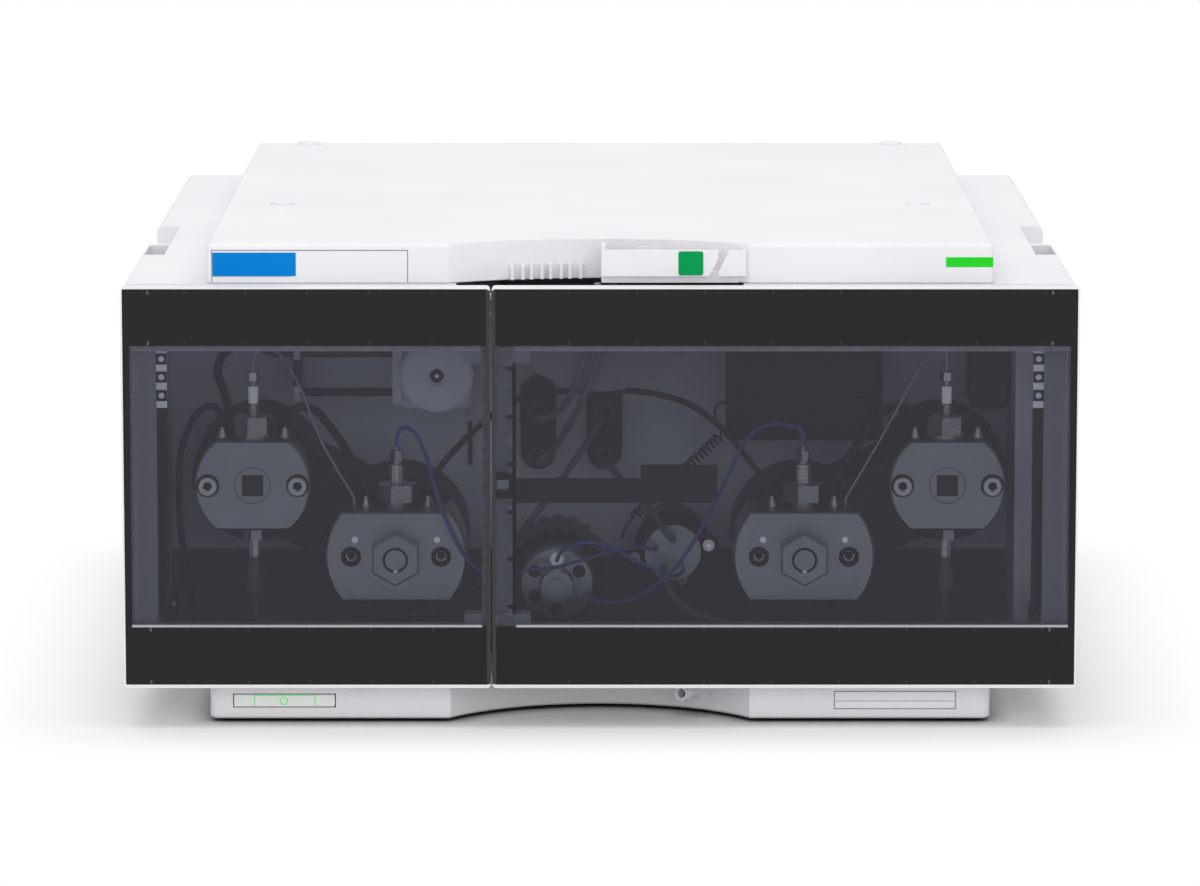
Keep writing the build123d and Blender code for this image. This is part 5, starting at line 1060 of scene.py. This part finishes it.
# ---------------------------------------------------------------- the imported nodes' finishes
@dataclass
class Dressing:
    """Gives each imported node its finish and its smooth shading."""

    smooth_angle: float = 28.0
    finishes: dict[str, Finish] = field(default_factory=lambda: {
        "base_tray": ABS_WHITE, "stacking_pads": ABS_WHITE_SMOOTH, "rubber_feet": RUBBER,
        "left_side_cover": ABS_WHITE, "right_side_cover": ABS_WHITE, "top_cover": ABS_WHITE,
        "left_fascia": ABS_WHITE_SMOOTH, "tube_tray": ABS_WHITE_SMOOTH,
        "drain_spout": ABS_WHITE_SMOOTH, "left_door_frame": ABS_WHITE_SMOOTH,
        "right_door_frame": ABS_WHITE_SMOOTH, "clip_strips": ABS_WHITE_SMOOTH,
        "front_bezel": ABS_WHITE, "compartment_liner": LINER, "right_door_rail": PC_BLACK,
        "leak_pan": PC_DARK, "chassis_plate": STEEL_SHEET, "rear_panel": STEEL_SHEET,
        "mixer_holder": STEEL_SHEET, "power_supply": STEEL_SHEET, "power_button": BUTTON,
        "status_lamp": LAMP, "left_door_glass": GLASS, "right_door_glass": GLASS,
        "hinge_brackets": STEEL_GROUND, "head_screws": STEEL_POLISHED,
        "valve_fittings": STEEL_TURNED, "purge_rotor": STEEL_TURNED,
        "multi_rotor": STEEL_TURNED, "plunger_outer_a": STEEL_TURNED,
        "plunger_inner_a": STEEL_TURNED, "plunger_outer_b": STEEL_TURNED,
        "plunger_inner_b": STEEL_TURNED, "steel_capillaries": STEEL_TURNED,
        "coiled_capillary": STEEL_TURNED, "leak_funnel": FUNNEL_GREY,
        "door_catch_arm": ARM_BLACK, "mixer_block": POWDER_BLACK, "shroud_a": NYLON_BLACK,
        "shroud_b": NYLON_BLACK, "wash_pump_body": ACETAL_WHITE,
        "wash_pump_rotor": NYLON_BLACK, "wash_pump_cover": ACETAL_WHITE,
        "degasser": NYLON_BLACK, "pressure_sensor": NYLON_BLACK, "power_inlet": NYLON_BLACK,
        "fan_frame": NYLON_BLACK, "fan_rotor": NYLON_BLACK, "pump_drives": ALUMINIUM,
        "wash_tubes": TUBE_BLACK, "solvent_tubes": TUBE_CLEAR, "blue_capillaries": TUBE_BLUE,
        "interface_board": BOARD,
        "outer_head_a": turned_head("stainless_head_outer_a", -146.1, 96.2),
        "inner_head_a": turned_head("stainless_head_inner_a", -85.6, 67.6),
        "outer_head_b": turned_head("stainless_head_outer_b", 146.1, 96.2),
        "inner_head_b": turned_head("stainless_head_inner_b", 85.6, 67.6),
        "purge_valve": turned_head("stainless_valve_purge", -18.2, 52.6, 71.9),
        "multi_valve": turned_head("stainless_valve_multi", 30.9, 64.3, 71.9),
    })

    def dress(self, nodes: dict[str, bpy.types.Object]) -> None:
        """Assigns the finishes.

        Args:
            nodes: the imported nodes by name.
        """
        for name, node in nodes.items():
            material = self.finishes[name].material()
            if not node.material_slots:
                node.data.materials.append(material)
            for place in node.material_slots:
                place.material = material
            live = node.modifiers.new("smooth", "NODES")
            live.node_group = smooth_tree()
            for item in live.node_group.interface.items_tree:
                if item.item_type == "SOCKET" and item.name == "Angle":
                    live[item.identifier] = math.radians(self.smooth_angle)
            LOG.info("node %s is %s", name, material.name)


# ---------------------------------------------------------------- studio
@dataclass
class Studio:
    """Camera, lamps, world and floor."""

    camera_place: Point = (0.0, -2.788, 0.5085)
    camera_pitch: float = 81.413
    lens: float = 188.5
    world_strength: float = 0.7
    top_power: float = 20.0
    front_power: float = 17.5
    inner_power: float = 0.032
    floor_half: float = 6.0
    footprint: Point = (0.195, 0.2, 0.0)
    fade_start: float = 0.0
    fade_end: float = 0.085
    contact_reach: float = 0.011
    contact_samples: int = 12
    paper: str = "EAEAEA"
    paper_lift: float = 0.08

    def build(self) -> None:
        """Builds the camera, the lamps, the world and the floor."""
        scene = bpy.context.scene
        scene.view_settings.view_transform = "Standard"
        lens = bpy.data.cameras.new("camera")
        lens.lens = self.lens
        lens.sensor_width = 36.0
        lens.clip_end = 50.0
        camera = bpy.data.objects.new("camera", lens)
        camera.location = self.camera_place
        camera.rotation_euler = (math.radians(self.camera_pitch), 0, 0)
        scene.collection.objects.link(camera)
        scene.camera = camera
        self.lamp("overhead", (0.0, 0.1, 1.9), (0, 0, 0), (2.6, 2.2), self.top_power)
        self.lamp("front_fill", (0.0, -2.5, 0.75), (77, 0, 0), (2.6, 1.2), self.front_power)
        # A weak lamp just behind the doors' glass, in place of the light that real smoked glass
        # lets in from all round.
        self.lamp("behind_glass", (0.0, -0.2035, 0.1), (90, 0, 0), (0.36, 0.11),
                  self.inner_power, True)
        self.world(scene)
        self.floor()

    def lamp(self, name: str, place: Point, turn: Point, size: tuple[float, float],
             power: float, mirrored: bool = False) -> None:
        """Adds one soft area lamp.

        Args:
            name: the lamp's name.
            place: where it hangs, metres.
            turn: its turn, degrees.
            size: its width and height, metres.
            power: its power, watts.
            mirrored: whether metal mirrors it.
        """
        light = bpy.data.lights.new(name, "AREA")
        light.shape = "RECTANGLE"
        light.size, light.size_y = size
        light.energy = power
        holder = bpy.data.objects.new(name, light)
        holder.location = place
        holder.rotation_euler = tuple(math.radians(a) for a in turn)
        holder.visible_glossy = mirrored
        bpy.context.scene.collection.objects.link(holder)

    def world(self, scene: bpy.types.Scene) -> None:
        """Builds the world: even light, and white wherever it is seen or mirrored.

        Args:
            scene: the scene.
        """
        world = bpy.data.worlds.new("studio")
        world.use_nodes = True
        tree = world.node_tree
        tree.nodes.clear()
        path = add_node(tree, "ShaderNodeLightPath")
        seen = add_node(tree, "ShaderNodeMath", {"operation": "MAXIMUM"}, {
            0: path.outputs["Is Camera Ray"], 1: path.outputs["Is Transmission Ray"]})
        light = add_node(tree, "ShaderNodeBackground", None, {
            "Color": (1, 1, 1, 1), "Strength": self.world_strength})
        white = add_node(tree, "ShaderNodeBackground", None, {
            "Color": (1, 1, 1, 1), "Strength": 1.0})
        mixed = add_node(tree, "ShaderNodeMixShader", None, {
            0: seen.outputs[0], 1: light.outputs[0], 2: white.outputs[0]})
        add_node(tree, "ShaderNodeOutputWorld", None, {"Surface": mixed.outputs[0]})
        scene.world = world

    def floor(self) -> None:
        """Builds the pale floor, which keeps the object's shadow near it, with painted contact
        shadow from ambient occlusion close under the object, and is white far off.
        """
        mesh = bpy.data.meshes.new("floor")
        h = self.floor_half
        mesh.from_pydata([(-h, -h, 0), (h, -h, 0), (h, h, 0), (-h, h, 0)], [], [(0, 1, 2, 3)])
        floor = bpy.data.objects.new("floor", mesh)
        bpy.context.scene.collection.objects.link(floor)
        material = bpy.data.materials.new("studio_floor_pale")
        material.use_nodes = True
        tree = material.node_tree
        tree.nodes.clear()
        place = add_node(tree, "ShaderNodeTexCoord").outputs["Object"]
        side = add_node(tree, "ShaderNodeVectorMath", {"operation": "ABSOLUTE"}, {0: place})
        side = add_node(tree, "ShaderNodeVectorMath", {"operation": "SUBTRACT"}, {
            0: side.outputs[0], 1: self.footprint})
        side = add_node(tree, "ShaderNodeVectorMath", {"operation": "MAXIMUM"}, {
            0: side.outputs[0], 1: (0.0, 0.0, 0.0)})
        away = add_node(tree, "ShaderNodeVectorMath", {"operation": "LENGTH"}, {
            0: side.outputs[0]})
        fade = add_node(tree, "ShaderNodeMapRange", {"interpolation_type": "SMOOTHSTEP"}, {
            "Value": away.outputs["Value"], "From Min": self.fade_start,
            "From Max": self.fade_end})
        path = add_node(tree, "ShaderNodeLightPath")
        seen = add_node(tree, "ShaderNodeMath", {"operation": "MAXIMUM"}, {
            0: path.outputs["Is Camera Ray"], 1: path.outputs["Is Glossy Ray"]})
        seen = add_node(tree, "ShaderNodeMath", {"operation": "MAXIMUM"}, {
            0: seen.outputs[0], 1: path.outputs["Is Transmission Ray"]})
        # Painted contact shadow: ambient occlusion darkens the paper's colour close to the object.
        contact = add_node(tree, "ShaderNodeAmbientOcclusion", {
            "samples": self.contact_samples}, {
                "Color": linear(self.paper), "Distance": self.contact_reach})
        paper = add_node(tree, "ShaderNodeBsdfDiffuse", None, {
            "Color": contact.outputs["Color"]})
        lift = add_node(tree, "ShaderNodeEmission", None, {
            "Color": contact.outputs["Color"], "Strength": self.paper_lift})
        near = add_node(tree, "ShaderNodeAddShader", None, {
            0: paper.outputs[0], 1: lift.outputs[0]})
        white = add_node(tree, "ShaderNodeEmission", None, {
            "Color": (1, 1, 1, 1), "Strength": 1.0})
        shown = add_node(tree, "ShaderNodeMixShader", None, {
            0: fade.outputs["Result"], 1: near.outputs[0], 2: white.outputs[0]})
        whole = add_node(tree, "ShaderNodeMixShader", None, {
            0: seen.outputs[0], 1: paper.outputs[0], 2: shown.outputs[0]})
        add_node(tree, "ShaderNodeOutputMaterial", None, {"Surface": whole.outputs[0]})
        mesh.materials.append(material)


# ---------------------------------------------------------------- sub-assemblies
@dataclass
class Cabinet:
    """Plates and marks on the housing's front."""

    body: str = "cabinet"
    face: float = -203.0
    blank_plate: tuple[float, float, float, float] = (-160.9, -125.9, 187.9, 198.1)
    badge: tuple[float, float, float, float] = (32.5, 42.8, 188.4, 198.4)
    type_plate_center: tuple[float, float] = (123.5, 9.3)
    type_plate_size: tuple[float, float] = (51.2, 8.0)
    button_face: float = -203.3
    symbol_center: tuple[float, float] = (-132.3, 9.1)
    glow_places: tuple[float, float] = (-144.6, -119.3)

    def build(self) -> None:
        """Builds every plate and mark."""
        left, right, low, high = self.blank_plate
        Piece("blank_plate").slab(
            rounded((left + right) / 2 + 0.1, (low + high) / 2, right - left - 0.4,
                    high - low - 0.3, 0.4), self.face - 0.05, self.face + 0.5).finish(
            FILM_BLUE, self.body, "white_housing", 0.08)
        left, right, low, high = self.badge
        Piece("tray_badge").slab(
            rounded((left + right) / 2, (low + high) / 2, right - left, high - low, 1.0),
            self.face - 0.35, self.face + 0.02).finish(FILM_GREEN, self.body, "white_housing", 0.1)
        x, z = self.type_plate_center
        width, height = self.type_plate_size
        Piece("type_plate").slab(
            rounded(x, z, width, height, 0.5), self.face + 0.12, self.face + 0.3).finish(
            FILM_SILVER, self.body, "white_housing")
        frame = Piece("type_plate_border")
        for sign in (-1, 1):
            frame.slab(rounded(x, z + sign * (height / 2 - 0.35), width - 0.4, 0.3, 0.1),
                       self.face + 0.08, self.face + 0.14)
            frame.slab(rounded(x + sign * (width / 2 - 0.35), z, 0.3, height - 0.4, 0.1),
                       self.face + 0.08, self.face + 0.14)
        frame.slab(rounded(x, z - 0.4, width - 1.2, 0.2, 0.1), self.face + 0.08, self.face + 0.14)
        frame.finish(INK_DARK, self.body, "white_housing")
        self.button()

    def button(self) -> None:
        """Builds the power symbol and the lit edges of the button's middle field."""
        x, z = self.symbol_center
        y = self.button_face
        symbol = Piece("power_symbol")
        symbol.ring(x, z, 1.75, 1.3, y - 0.06, y + 0.05, start=118, end=422, steps=36)
        symbol.slab(rounded(x, z + 1.25, 0.45, 1.7, 0.15), y - 0.06, y + 0.05)
        symbol.finish(GLOW, "power_button", "button_plastic")
        for n, place in enumerate(self.glow_places):
            Piece(f"button_light_{n + 1}").slab(
                rounded(place, z, 0.45, 4.4, 0.15), y - 0.03, y + 0.05).finish(
                GLOW, "power_button", "button_plastic")
        left, right = self.glow_places
        Piece("button_light_top").slab(
            rounded((left + right) / 2, z + 2.2, right - left, 0.35, 0.15), y - 0.03,
            y + 0.05).finish(GLOW, "power_button", "button_plastic")


@dataclass
class Doors:
    """Ticks, dark seam edges of the doors, a painted highlight along their windows' lower edge,
    and the catch's bright plate.
    """

    levels: tuple[float, ...] = (183.1, 162.0, 42.0, 19.9)
    left_ticks: tuple[float, ...] = (-171.5, -146.2, -120.6, -95.0, -69.4)
    right_ticks: tuple[float, ...] = tuple(-12.95 + 28.1 * n for n in range(8))
    corner_ticks: tuple[float, float] = (-186.6, 186.8)
    edge: tuple[float, float] = (42.95, 44.0)
    latch: tuple[float, float, float] = (-42.9, -37.9, 101.3)
    seam_rims: tuple[tuple[float, float], ...] = ((-47.0, -45.3), (-44.9, -43.2))
    seam_height: tuple[float, float] = (19.0, 184.0)

    def build(self) -> None:
        """Builds the ticks and edges of both doors, and the plate in the latch."""
        for body, places, corner in (("left_door", self.left_ticks, self.corner_ticks[0]),
                                     ("right_door", self.right_ticks, self.corner_ticks[1])):
            ticks = [at(x, 0.0, z) for x in places for z in self.levels]
            bars(f"{body}_ticks", ticks, (0.45, 0.04, 1.5), INK_PALE, body, 0.0)
            bars(f"{body}_corner_ticks", [at(corner, 0.0, z) for z in self.levels],
                 (0.8, 0.04, 1.5), INK_LIGHT, body, 0.0)
        # A light band on each window's lower edge: painted highlight for the lit sill.
        for body, left, right in (("left_door", -194.4, -49.0), ("right_door", -34.8, 194.4)):
            Piece(f"{body}_window_highlight").slab(
                [(left, self.edge[0]), (right, self.edge[0]), (right, self.edge[1]),
                 (left, self.edge[1])], FRONT - 0.02, FRONT + 0.02).finish(
                EDGE_PAINTED_HIGHLIGHT, body, "smoked_glass")
        for body, (left, right) in zip(("left_door", "right_door"), self.seam_rims):
            low, high = self.seam_height
            Piece(f"{body}_seam_edge").slab(
                [(left, low), (right, low), (right, high), (left, high)], FRONT - 0.02,
                FRONT + 0.02).finish(INK_PALE, body, "smoked_glass")
        left, right, z = self.latch
        Piece("latch_plate").slab(
            rounded((left + right) / 2, z, right - left, 4.8, 0.3), FRONT + 8.2,
            FRONT + 8.7).finish(STEEL_POLISHED, "right_door", "bare_steel", 0.05)


@dataclass
class PumpHeads:
    """What the pump heads' faces and fittings carry."""

    body: str = "cabinet"
    outer: tuple[tuple[float, float], ...] = ((-146.1, 96.2), (146.1, 96.2))
    inner: tuple[tuple[float, float], ...] = ((-85.6, 67.6), (85.6, 67.6))
    outer_face: float = 40.0
    inner_face: float = 30.0
    outer_middle: float = 51.0
    inner_middle: float = 46.0
    flat: float = 19.0
    plate: float = 8.8
    ring: float = 7.55
    screw_offset: float = 18.9
    barb_offset: float = 13.2

    def build(self) -> None:
        """Builds plates, painted shade round and in the screws, pins, sleeves and barbs."""
        self.plates()
        self.screws()
        self.boss()
        self.fittings()

    def plates(self) -> None:
        """Builds the square plates and the thin dark rings round them, painted shade in the fine
        groove there.
        """
        plates, rings = Piece("head_plates"), Piece("head_groove_shades")
        y = FRONT + self.outer_face
        for x, z in self.outer:
            plates.slab(rounded(x, z, self.plate, self.plate, 0.3), y - 0.02, y + 0.5)
            rings.ring(x, z, self.ring + 0.13, self.ring - 0.13, y + 0.05, y + 0.38)
        plates.finish(FILM_DARK, self.body, "head_steel", 0.05)
        rings.finish(STEEL_BLACK_AND_PAINTED_SHADE, self.body, "head_steel")

    def screws(self) -> None:
        """Builds painted shade: dark rims round the outer screws, dark caps on the sunk inner ones
        and dark socket floors.
        """
        shaded_rims, caps, shaded_sockets = Piece("screw_rim_shades"), Piece("screw_cap_shades"), Piece("socket_floor_shades")
        y = FRONT + self.outer_face
        for x, z in self.outer:
            for sign in (-1, 1):
                place = (x + sign * self.screw_offset, z)
                shaded_rims.ring(*place, 4.87, 4.12, y + 0.25, y + 1.48)
                shaded_sockets.slab(disc(*place, 1.85), y - 0.9, y - 0.72)
        y = FRONT + self.inner_face
        for x, z in self.inner:
            for sign in (-1, 1):
                place = (x + sign * self.screw_offset, z)
                caps.ring(*place, 4.05, 2.15, y + 0.85, y + 1.05)
                shaded_sockets.slab(disc(*place, 1.85), y + 3.6, y + 3.78)
        shaded_rims.finish(STEEL_BLACK_AND_PAINTED_SHADE, self.body, "bare_steel", 0.1)
        caps.finish(STEEL_BLACK_AND_PAINTED_SHADE, self.body, "bare_steel", 0.08)
        shaded_sockets.finish(STEEL_BLACK_AND_PAINTED_SHADE, self.body, "bare_steel")

    def boss(self) -> None:
        """Builds the locating pins, a white dot in the hexagon boss's groove as painted highlight,
        and a dark ring in that groove as painted shade.
        """
        pins = [at(x + sign * 17.2, self.inner_face + 0.3, z + 7.2)
                for x, z in self.inner for sign in (-1, 1)]
        screws("locating_pins", pins, 1.35, 1.5, 0.35, (90, 0, 0), CERAMIC_PAINTED_GLOW, self.body)
        # Painted highlight: a white dot low in each groove; painted shade: a dark ring in it.
        painted_dots, shaded_rings = Piece("groove_highlight_dots"), Piece("boss_groove_shades")
        y = FRONT + self.inner_face - 9.0
        for x, z in self.inner:
            painted_dots.slab(disc(x, z - 4.85, 0.78), y + 0.1, y + 1.9)
            shaded_rings.ring(x, z, 5.38, 4.32, y + 1.6, y + 1.98)
        painted_dots.finish(CERAMIC_PAINTED_GLOW, self.body, "bare_steel", 0.3)
        shaded_rings.finish(STEEL_BLACK_AND_PAINTED_SHADE, self.body, "head_steel")

    def fittings(self) -> None:
        """Builds the sleeves with painted glow, the bright nuts, the knurled sleeves and the
        barbs.
        """
        outlets = [at(x, self.outer_middle, z + self.flat + 14.5) for x, z in self.outer]
        collars("outlet_sleeves", outlets, 24, 2.05, 2.05, 7.3, CERAMIC_PAINTED_GLOW, self.body)
        nuts = [at(x, self.outer_middle, z + self.flat + 24.2) for x, z in self.outer]
        collars("outlet_nuts", nuts, 6, 2.95, 2.95, 3.7, STEEL_POLISHED, self.body)
        for name, places, radius, length, rows in (
                ("inner_knurls", [at(x, self.inner_middle, z + self.flat + 13.8)
                                  for x, z in self.inner], 2.72, 8.2, 5),
                ("inlet_knurls", [at(x, self.outer_middle, z - self.flat - 9.3)
                                  for x, z in self.outer], 2.0, 7.2, 5)):
            mesh = grown(knurl_tree(), places, {
                "Radius": radius * MM, "Length": length * MM, "Columns": 14, "Rows": rows,
                "Rise": 0.22 * MM, "Material": STEEL_POLISHED.material()}, name)
            dressed(name, mesh, STEEL_POLISHED, self.body)
        barbs = [at(x + sign * self.barb_offset, behind, z + self.flat)
                 for heads, behind in ((self.outer, self.outer_middle),
                                       (self.inner, self.inner_middle))
                 for x, z in heads for sign in (-1, 1)]
        collars("wash_barbs", barbs, 20, 2.5, 1.0, 4.4, STEEL_POLISHED, self.body)


@dataclass
class Clips:
    """Black snap clips on the white strips beside the opening, and small wall fixings."""

    body: str = "cabinet"
    levels: tuple[float, ...] = (138.1, 145.8, 153.4)
    reach: float = 182.25
    front: float = -203.0
    width: float = 4.4
    height: float = 4.6

    def build(self) -> None:
        """Builds the clips, the white pegs that they hold and the fixings on the walls."""
        places = [Vector((side * self.reach, self.front + 0.05, z)) * MM
                  for side in (-1, 1) for z in self.levels]
        mesh = grown(clip_tree(), places, {
            "Width": self.width * MM, "Height": self.height * MM, "Hole radius": 1.3 * MM,
            "Thickness": 0.5 * MM, "Material": NYLON_BLACK.material()}, "snap_clips")
        dressed("snap_clips", mesh, NYLON_BLACK, self.body, 0.1)
        faces, edges = Piece("strip_faces"), (132.7, *self.levels, 156.4)
        for side in (-1, 1):
            for n, (low, high) in enumerate(zip(edges, edges[1:])):
                start = low + (2.35 if n else 0.0)
                end = high - (2.35 if n < len(self.levels) else 0.0)
                faces.slab(rounded(side * self.reach, (start + end) / 2, 4.2, end - start, 0.2),
                           self.front + 1.55, self.front + 1.85)
        # The strips' white faces carry painted glow, brighter than plain white.
        faces.finish(FILM_WHITE_PAINTED_GLOW, self.body, "light_plastic")
        # Painted shade: dark channels below the strips, where the slots beside the side walls lie
        # in shade.
        channels = Piece("strip_channel_shades")
        for side in (-1, 1):
            channels.slab(rounded(side * self.reach, 88.5, 4.2, 87.6, 0.3), self.front + 1.8,
                          self.front + 4.8)
        channels.finish(NYLON_BLACK, self.body, "black_plastic", 0.2)
        bars("tube_clamps_upper", [at(-128.8, 76.0, 147.4)], (2.8, 4.6, 4.6), ABS_WHITE_SMOOTH,
             self.body, 0.3)
        bars("tube_clamps_lower", [at(-128.8, 76.0, 130.4)], (2.8, 4.6, 6.8), ABS_WHITE_SMOOTH,
             self.body, 0.3)
        pegs = Piece("clip_pegs")
        for side in (-1, 1):
            for z in self.levels:
                pegs.slab(disc(side * self.reach, z, 1.15), self.front - 0.35, self.front + 1.2)
        # The white pegs carry the same painted glow.
        pegs.finish(FILM_WHITE_PAINTED_GLOW, self.body, "light_plastic", 0.1)
        bars("level_peg", [at(-181.0, 60.0, 42.4)], (1.6, 2.4, 2.0), ABS_WHITE_SMOOTH, self.body)
        screws("wall_screw", [at(-57.2, 107.2, 119.2)], 2.6, 1.8, 1.2, (90, 0, 0), STEEL_TURNED,
               self.body)
        bars("wall_pin", [at(-55.9, 106.9, 104.2)], (1.7, 2.4, 19.0), NYLON_BLACK, self.body,
             0.3)


@dataclass
class Hardware:
    """Nuts, dots and port rings of the valves, the seal-wash pump and the degasser, and painted
    shade in the purge valve's ports.
    """

    body: str = "cabinet"
    purge: tuple[float, float] = (-18.2, 52.6)
    multi: tuple[float, float] = (30.9, 64.3)
    wash: tuple[float, float] = (-68.9, 140.0)
    ears: tuple[tuple[float, float], ...] = ((46.3, 65.5), (14.9, 60.4), (35.0, 50.4))
    blocks: tuple[float, float] = (-26.6, 1.8)
    ports: tuple[float, float] = (99.9, 118.8)

    def build(self) -> None:
        """Builds every small part."""
        x, z = self.purge
        nut = Piece("purge_port_nut")
        nut.ring(x, z + 10.8, 3.05, 0.95, FRONT + 47.1, FRONT + 50.0, steps=6)
        nut.finish(CERAMIC_PAINTED_GLOW, self.body, "bare_steel", 0.2)
        # Painted shade: dark rings and floors in the purge valve's open ports.
        shaded_ports = Piece("purge_port_shades")
        for angle in (30, 150, 210, 270):
            px = x + 10.8 * math.cos(math.radians(angle))
            pz = z + 10.8 * math.sin(math.radians(angle))
            shaded_ports.ring(px, pz, 2.75, 1.75, FRONT + 49.85, FRONT + 50.05)
            shaded_ports.slab(disc(px, pz, 1.85), FRONT + 51.6, FRONT + 52.4)
        shaded_ports.finish(STEEL_BLACK_AND_PAINTED_SHADE, self.body, "bare_steel")
        ears = [at(*place) for place in ((ex, 71.6, ez) for ex, ez in self.ears)]
        screws("ear_screws", ears[:1], 2.5, 1.6, 0.9, (90, 0, 0), CERAMIC_PAINTED_GLOW, self.body)
        screws("ear_screws_plain", ears[1:], 2.4, 1.6, 1.1, (90, 0, 0), STEEL_TURNED, self.body)
        x, z = self.wash
        Piece("wash_hub_dot").slab(disc(x, z, 0.8), FRONT + 59.3, FRONT + 59.6).finish(
            CERAMIC_PAINTED_GLOW, "wash_rotor", "light_plastic", 0.08)
        wash_screws = [at(x + dx, 79.6, z + dz) for dx, dz in ((-13.0, -13.0), (11.0, -13.0))]
        screws("wash_pump_screws", wash_screws, 1.6, 1.2, 0.7, (90, 0, 0), STEEL_TURNED,
               self.body)
        rings = Piece("degasser_port_rings")
        for bx in self.blocks:
            for bz in self.ports:
                rings.ring(bx, bz, 4.35, 3.15, FRONT + 96.55, FRONT + 96.85)
        rings.finish(PEEK_NATURAL, self.body, "dark_plastic", 0.08)


@dataclass
class Coil:
    """Wire helix of the coiled capillary, with its two leads."""

    body: str = "cabinet"
    start: Point = (51.0, 74.0, 112.0)
    end: Point = (14.5, 78.0, 77.0)
    radius: float = 2.0
    wire: float = 0.5
    pitch: float = 2.2
    leads: tuple[tuple[Point, ...], ...] = (
        ((53.6, 72.0, 127.0), (48.6, 72.0, 127.0), (49.0, 73.0, 119.0)),
        ((9.6, 84.0, 68.0), (9.6, 94.0, 64.0), (9.6, 108.0, 64.0)))

    def build(self) -> None:
        """Builds the helix and its two leads as separate pieces, which replace the plain solid."""
        start, end = at(*self.start), at(*self.end)
        axis = end - start
        length = axis.length
        # The helix and its leads are darkened as painted shade.
        mesh = grown(coil_tree(), [(0, 0, 0)], {
            "Turns": length / (self.pitch * MM), "Radius": self.radius * MM, "Length": length,
            "Wire radius": self.wire * MM, "Material": STEEL_PAINTED_SHADE.material()}, "coil_helix")
        turn = axis.to_track_quat("Z", "Y").to_matrix().to_4x4()
        mesh.transform(Matrix.Translation(start) @ turn)
        piece = dressed("coil_helix", mesh, STEEL_PAINTED_SHADE, self.body)
        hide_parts("coiled_capillary")
        direction = axis.normalized()
        first = [at(*p) for p in self.leads[0]] + [start - direction * 2 * MM,
                                                   start + direction * 0.5 * MM]
        last = [end - direction * 0.5 * MM, end + direction * 4 * MM] + [
            at(*p) for p in self.leads[1]]
        for name, route in (("coil_lead_upper", first), ("coil_lead_lower", last)):
            self.lead(name, route)

    def lead(self, name: str, route: list[Vector]) -> None:
        """Builds one smooth lead.

        Args:
            name: the piece's name.
            route: its points, metres.
        """
        curve = bpy.data.curves.new(name, "CURVE")
        curve.dimensions = "3D"
        spline = curve.splines.new("NURBS")
        spline.points.add(len(route) - 1)
        for point, place in zip(spline.points, route):
            point.co = (*place, 1.0)
        spline.order_u = 3
        spline.use_endpoint_u = True
        curve.bevel_depth = self.wire * MM
        curve.bevel_resolution = 3
        curve.use_fill_caps = True
        holder = bpy.data.objects.new(name, curve)
        bpy.context.scene.collection.objects.link(holder)
        graph = bpy.context.evaluated_depsgraph_get()
        mesh = bpy.data.meshes.new_from_object(holder.evaluated_get(graph))
        bpy.data.objects.remove(holder)
        dressed(name, mesh, STEEL_PAINTED_SHADE, self.body)


@dataclass
class Rear:
    """Screws, contacts and plates on the back of the cabinet."""

    body: str = "cabinet"
    back: float = 218.0
    fan: tuple[float, float] = (62.0, 104.0)
    fan_screw: float = 41.2
    inlet: tuple[float, float] = (-150.0, 50.0)
    plate: tuple[float, float, float, float] = (150.0, 62.0, 56.0, 34.0)
    small_sockets: tuple[tuple[float, float], ...] = ((-96.0, 92.0), (-96.0, 112.0))
    tall_socket: tuple[float, float] = (-72.0, 102.0)

    def build(self) -> None:
        """Builds the rear details."""
        y = (self.back - 0.25) * MM
        corners = [Vector((x * MM, y, z * MM)) for x in (-190, -95, 0, 95, 190)
                   for z in (27, 178)]
        screws("panel_screws", corners, 2.8, 0.5, 1.3, (-90, 0, 0), STEEL_TURNED, self.body)
        x, z = self.fan
        around = [Vector(((x + sx * self.fan_screw) * MM, y, (z + sz * self.fan_screw) * MM))
                  for sx in (-1, 1) for sz in (-1, 1)]
        screws("fan_screws", around, 3.2, 0.5, 1.4, (-90, 0, 0), STEEL_BLACK_AND_PAINTED_SHADE, self.body)
        self.contacts()
        self.bare_plate()

    def contacts(self) -> None:
        """Builds the contacts of the mains inlet and of the signal sockets."""
        x, z = self.inlet
        pins = [Vector((x + dx, self.back - 10.2, z + dz)) * MM
                for dx, dz in ((-7, 7), (7, 7), (0, 11))]
        bars("inlet_contacts", pins, (2.3, 12.4, 4.3), CONTACT, self.body, 0.3)
        small = [Vector((sx - 4.2 + 1.2 * n, self.back - 7.8, sz + 1.6)) * MM
                 for sx, sz in self.small_sockets for n in range(8)]
        tx, tz = self.tall_socket
        small += [Vector((tx + side * 3.0, self.back - 7.8, tz - 11.4 + 1.9 * n)) * MM
                  for side in (-1, 1) for n in range(13)]
        bars("socket_contacts", small, (0.6, 5.0, 0.6), CONTACT, self.body, 0.05)

    def bare_plate(self) -> None:
        """Builds the bare rating plate with its printed border."""
        x, z, width, height = self.plate
        face = self.back
        Piece("rating_plate").slab(
            rounded(x, z, width, height, 1.0), face - 0.12, face - 0.02).finish(
            FILM_SILVER, self.body, "sheet_steel")
        border = Piece("rating_plate_border")
        for sign in (-1, 1):
            border.slab(rounded(x, z + sign * (height / 2 - 1.2), width - 2.2, 0.4, 0.15),
                        face - 0.06, face)
            border.slab(rounded(x + sign * (width / 2 - 1.2), z, 0.4, height - 2.2, 0.15),
                        face - 0.06, face)
        border.finish(INK_DARK, self.body, "sheet_steel")


def main() -> None:
    """Builds the scene, class by class."""
    logging.basicConfig(level=logging.INFO, format="%(name)s: %(message)s")
    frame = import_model()
    Studio().build()
    Dressing().dress(frame["nodes"])
    for part in (Cabinet(), Doors(), PumpHeads(), Clips(), Hardware(), Coil(), Rear()):
        part.build()
        LOG.info("%s is built", type(part).__name__)


if __name__ == "__main__":
    main()
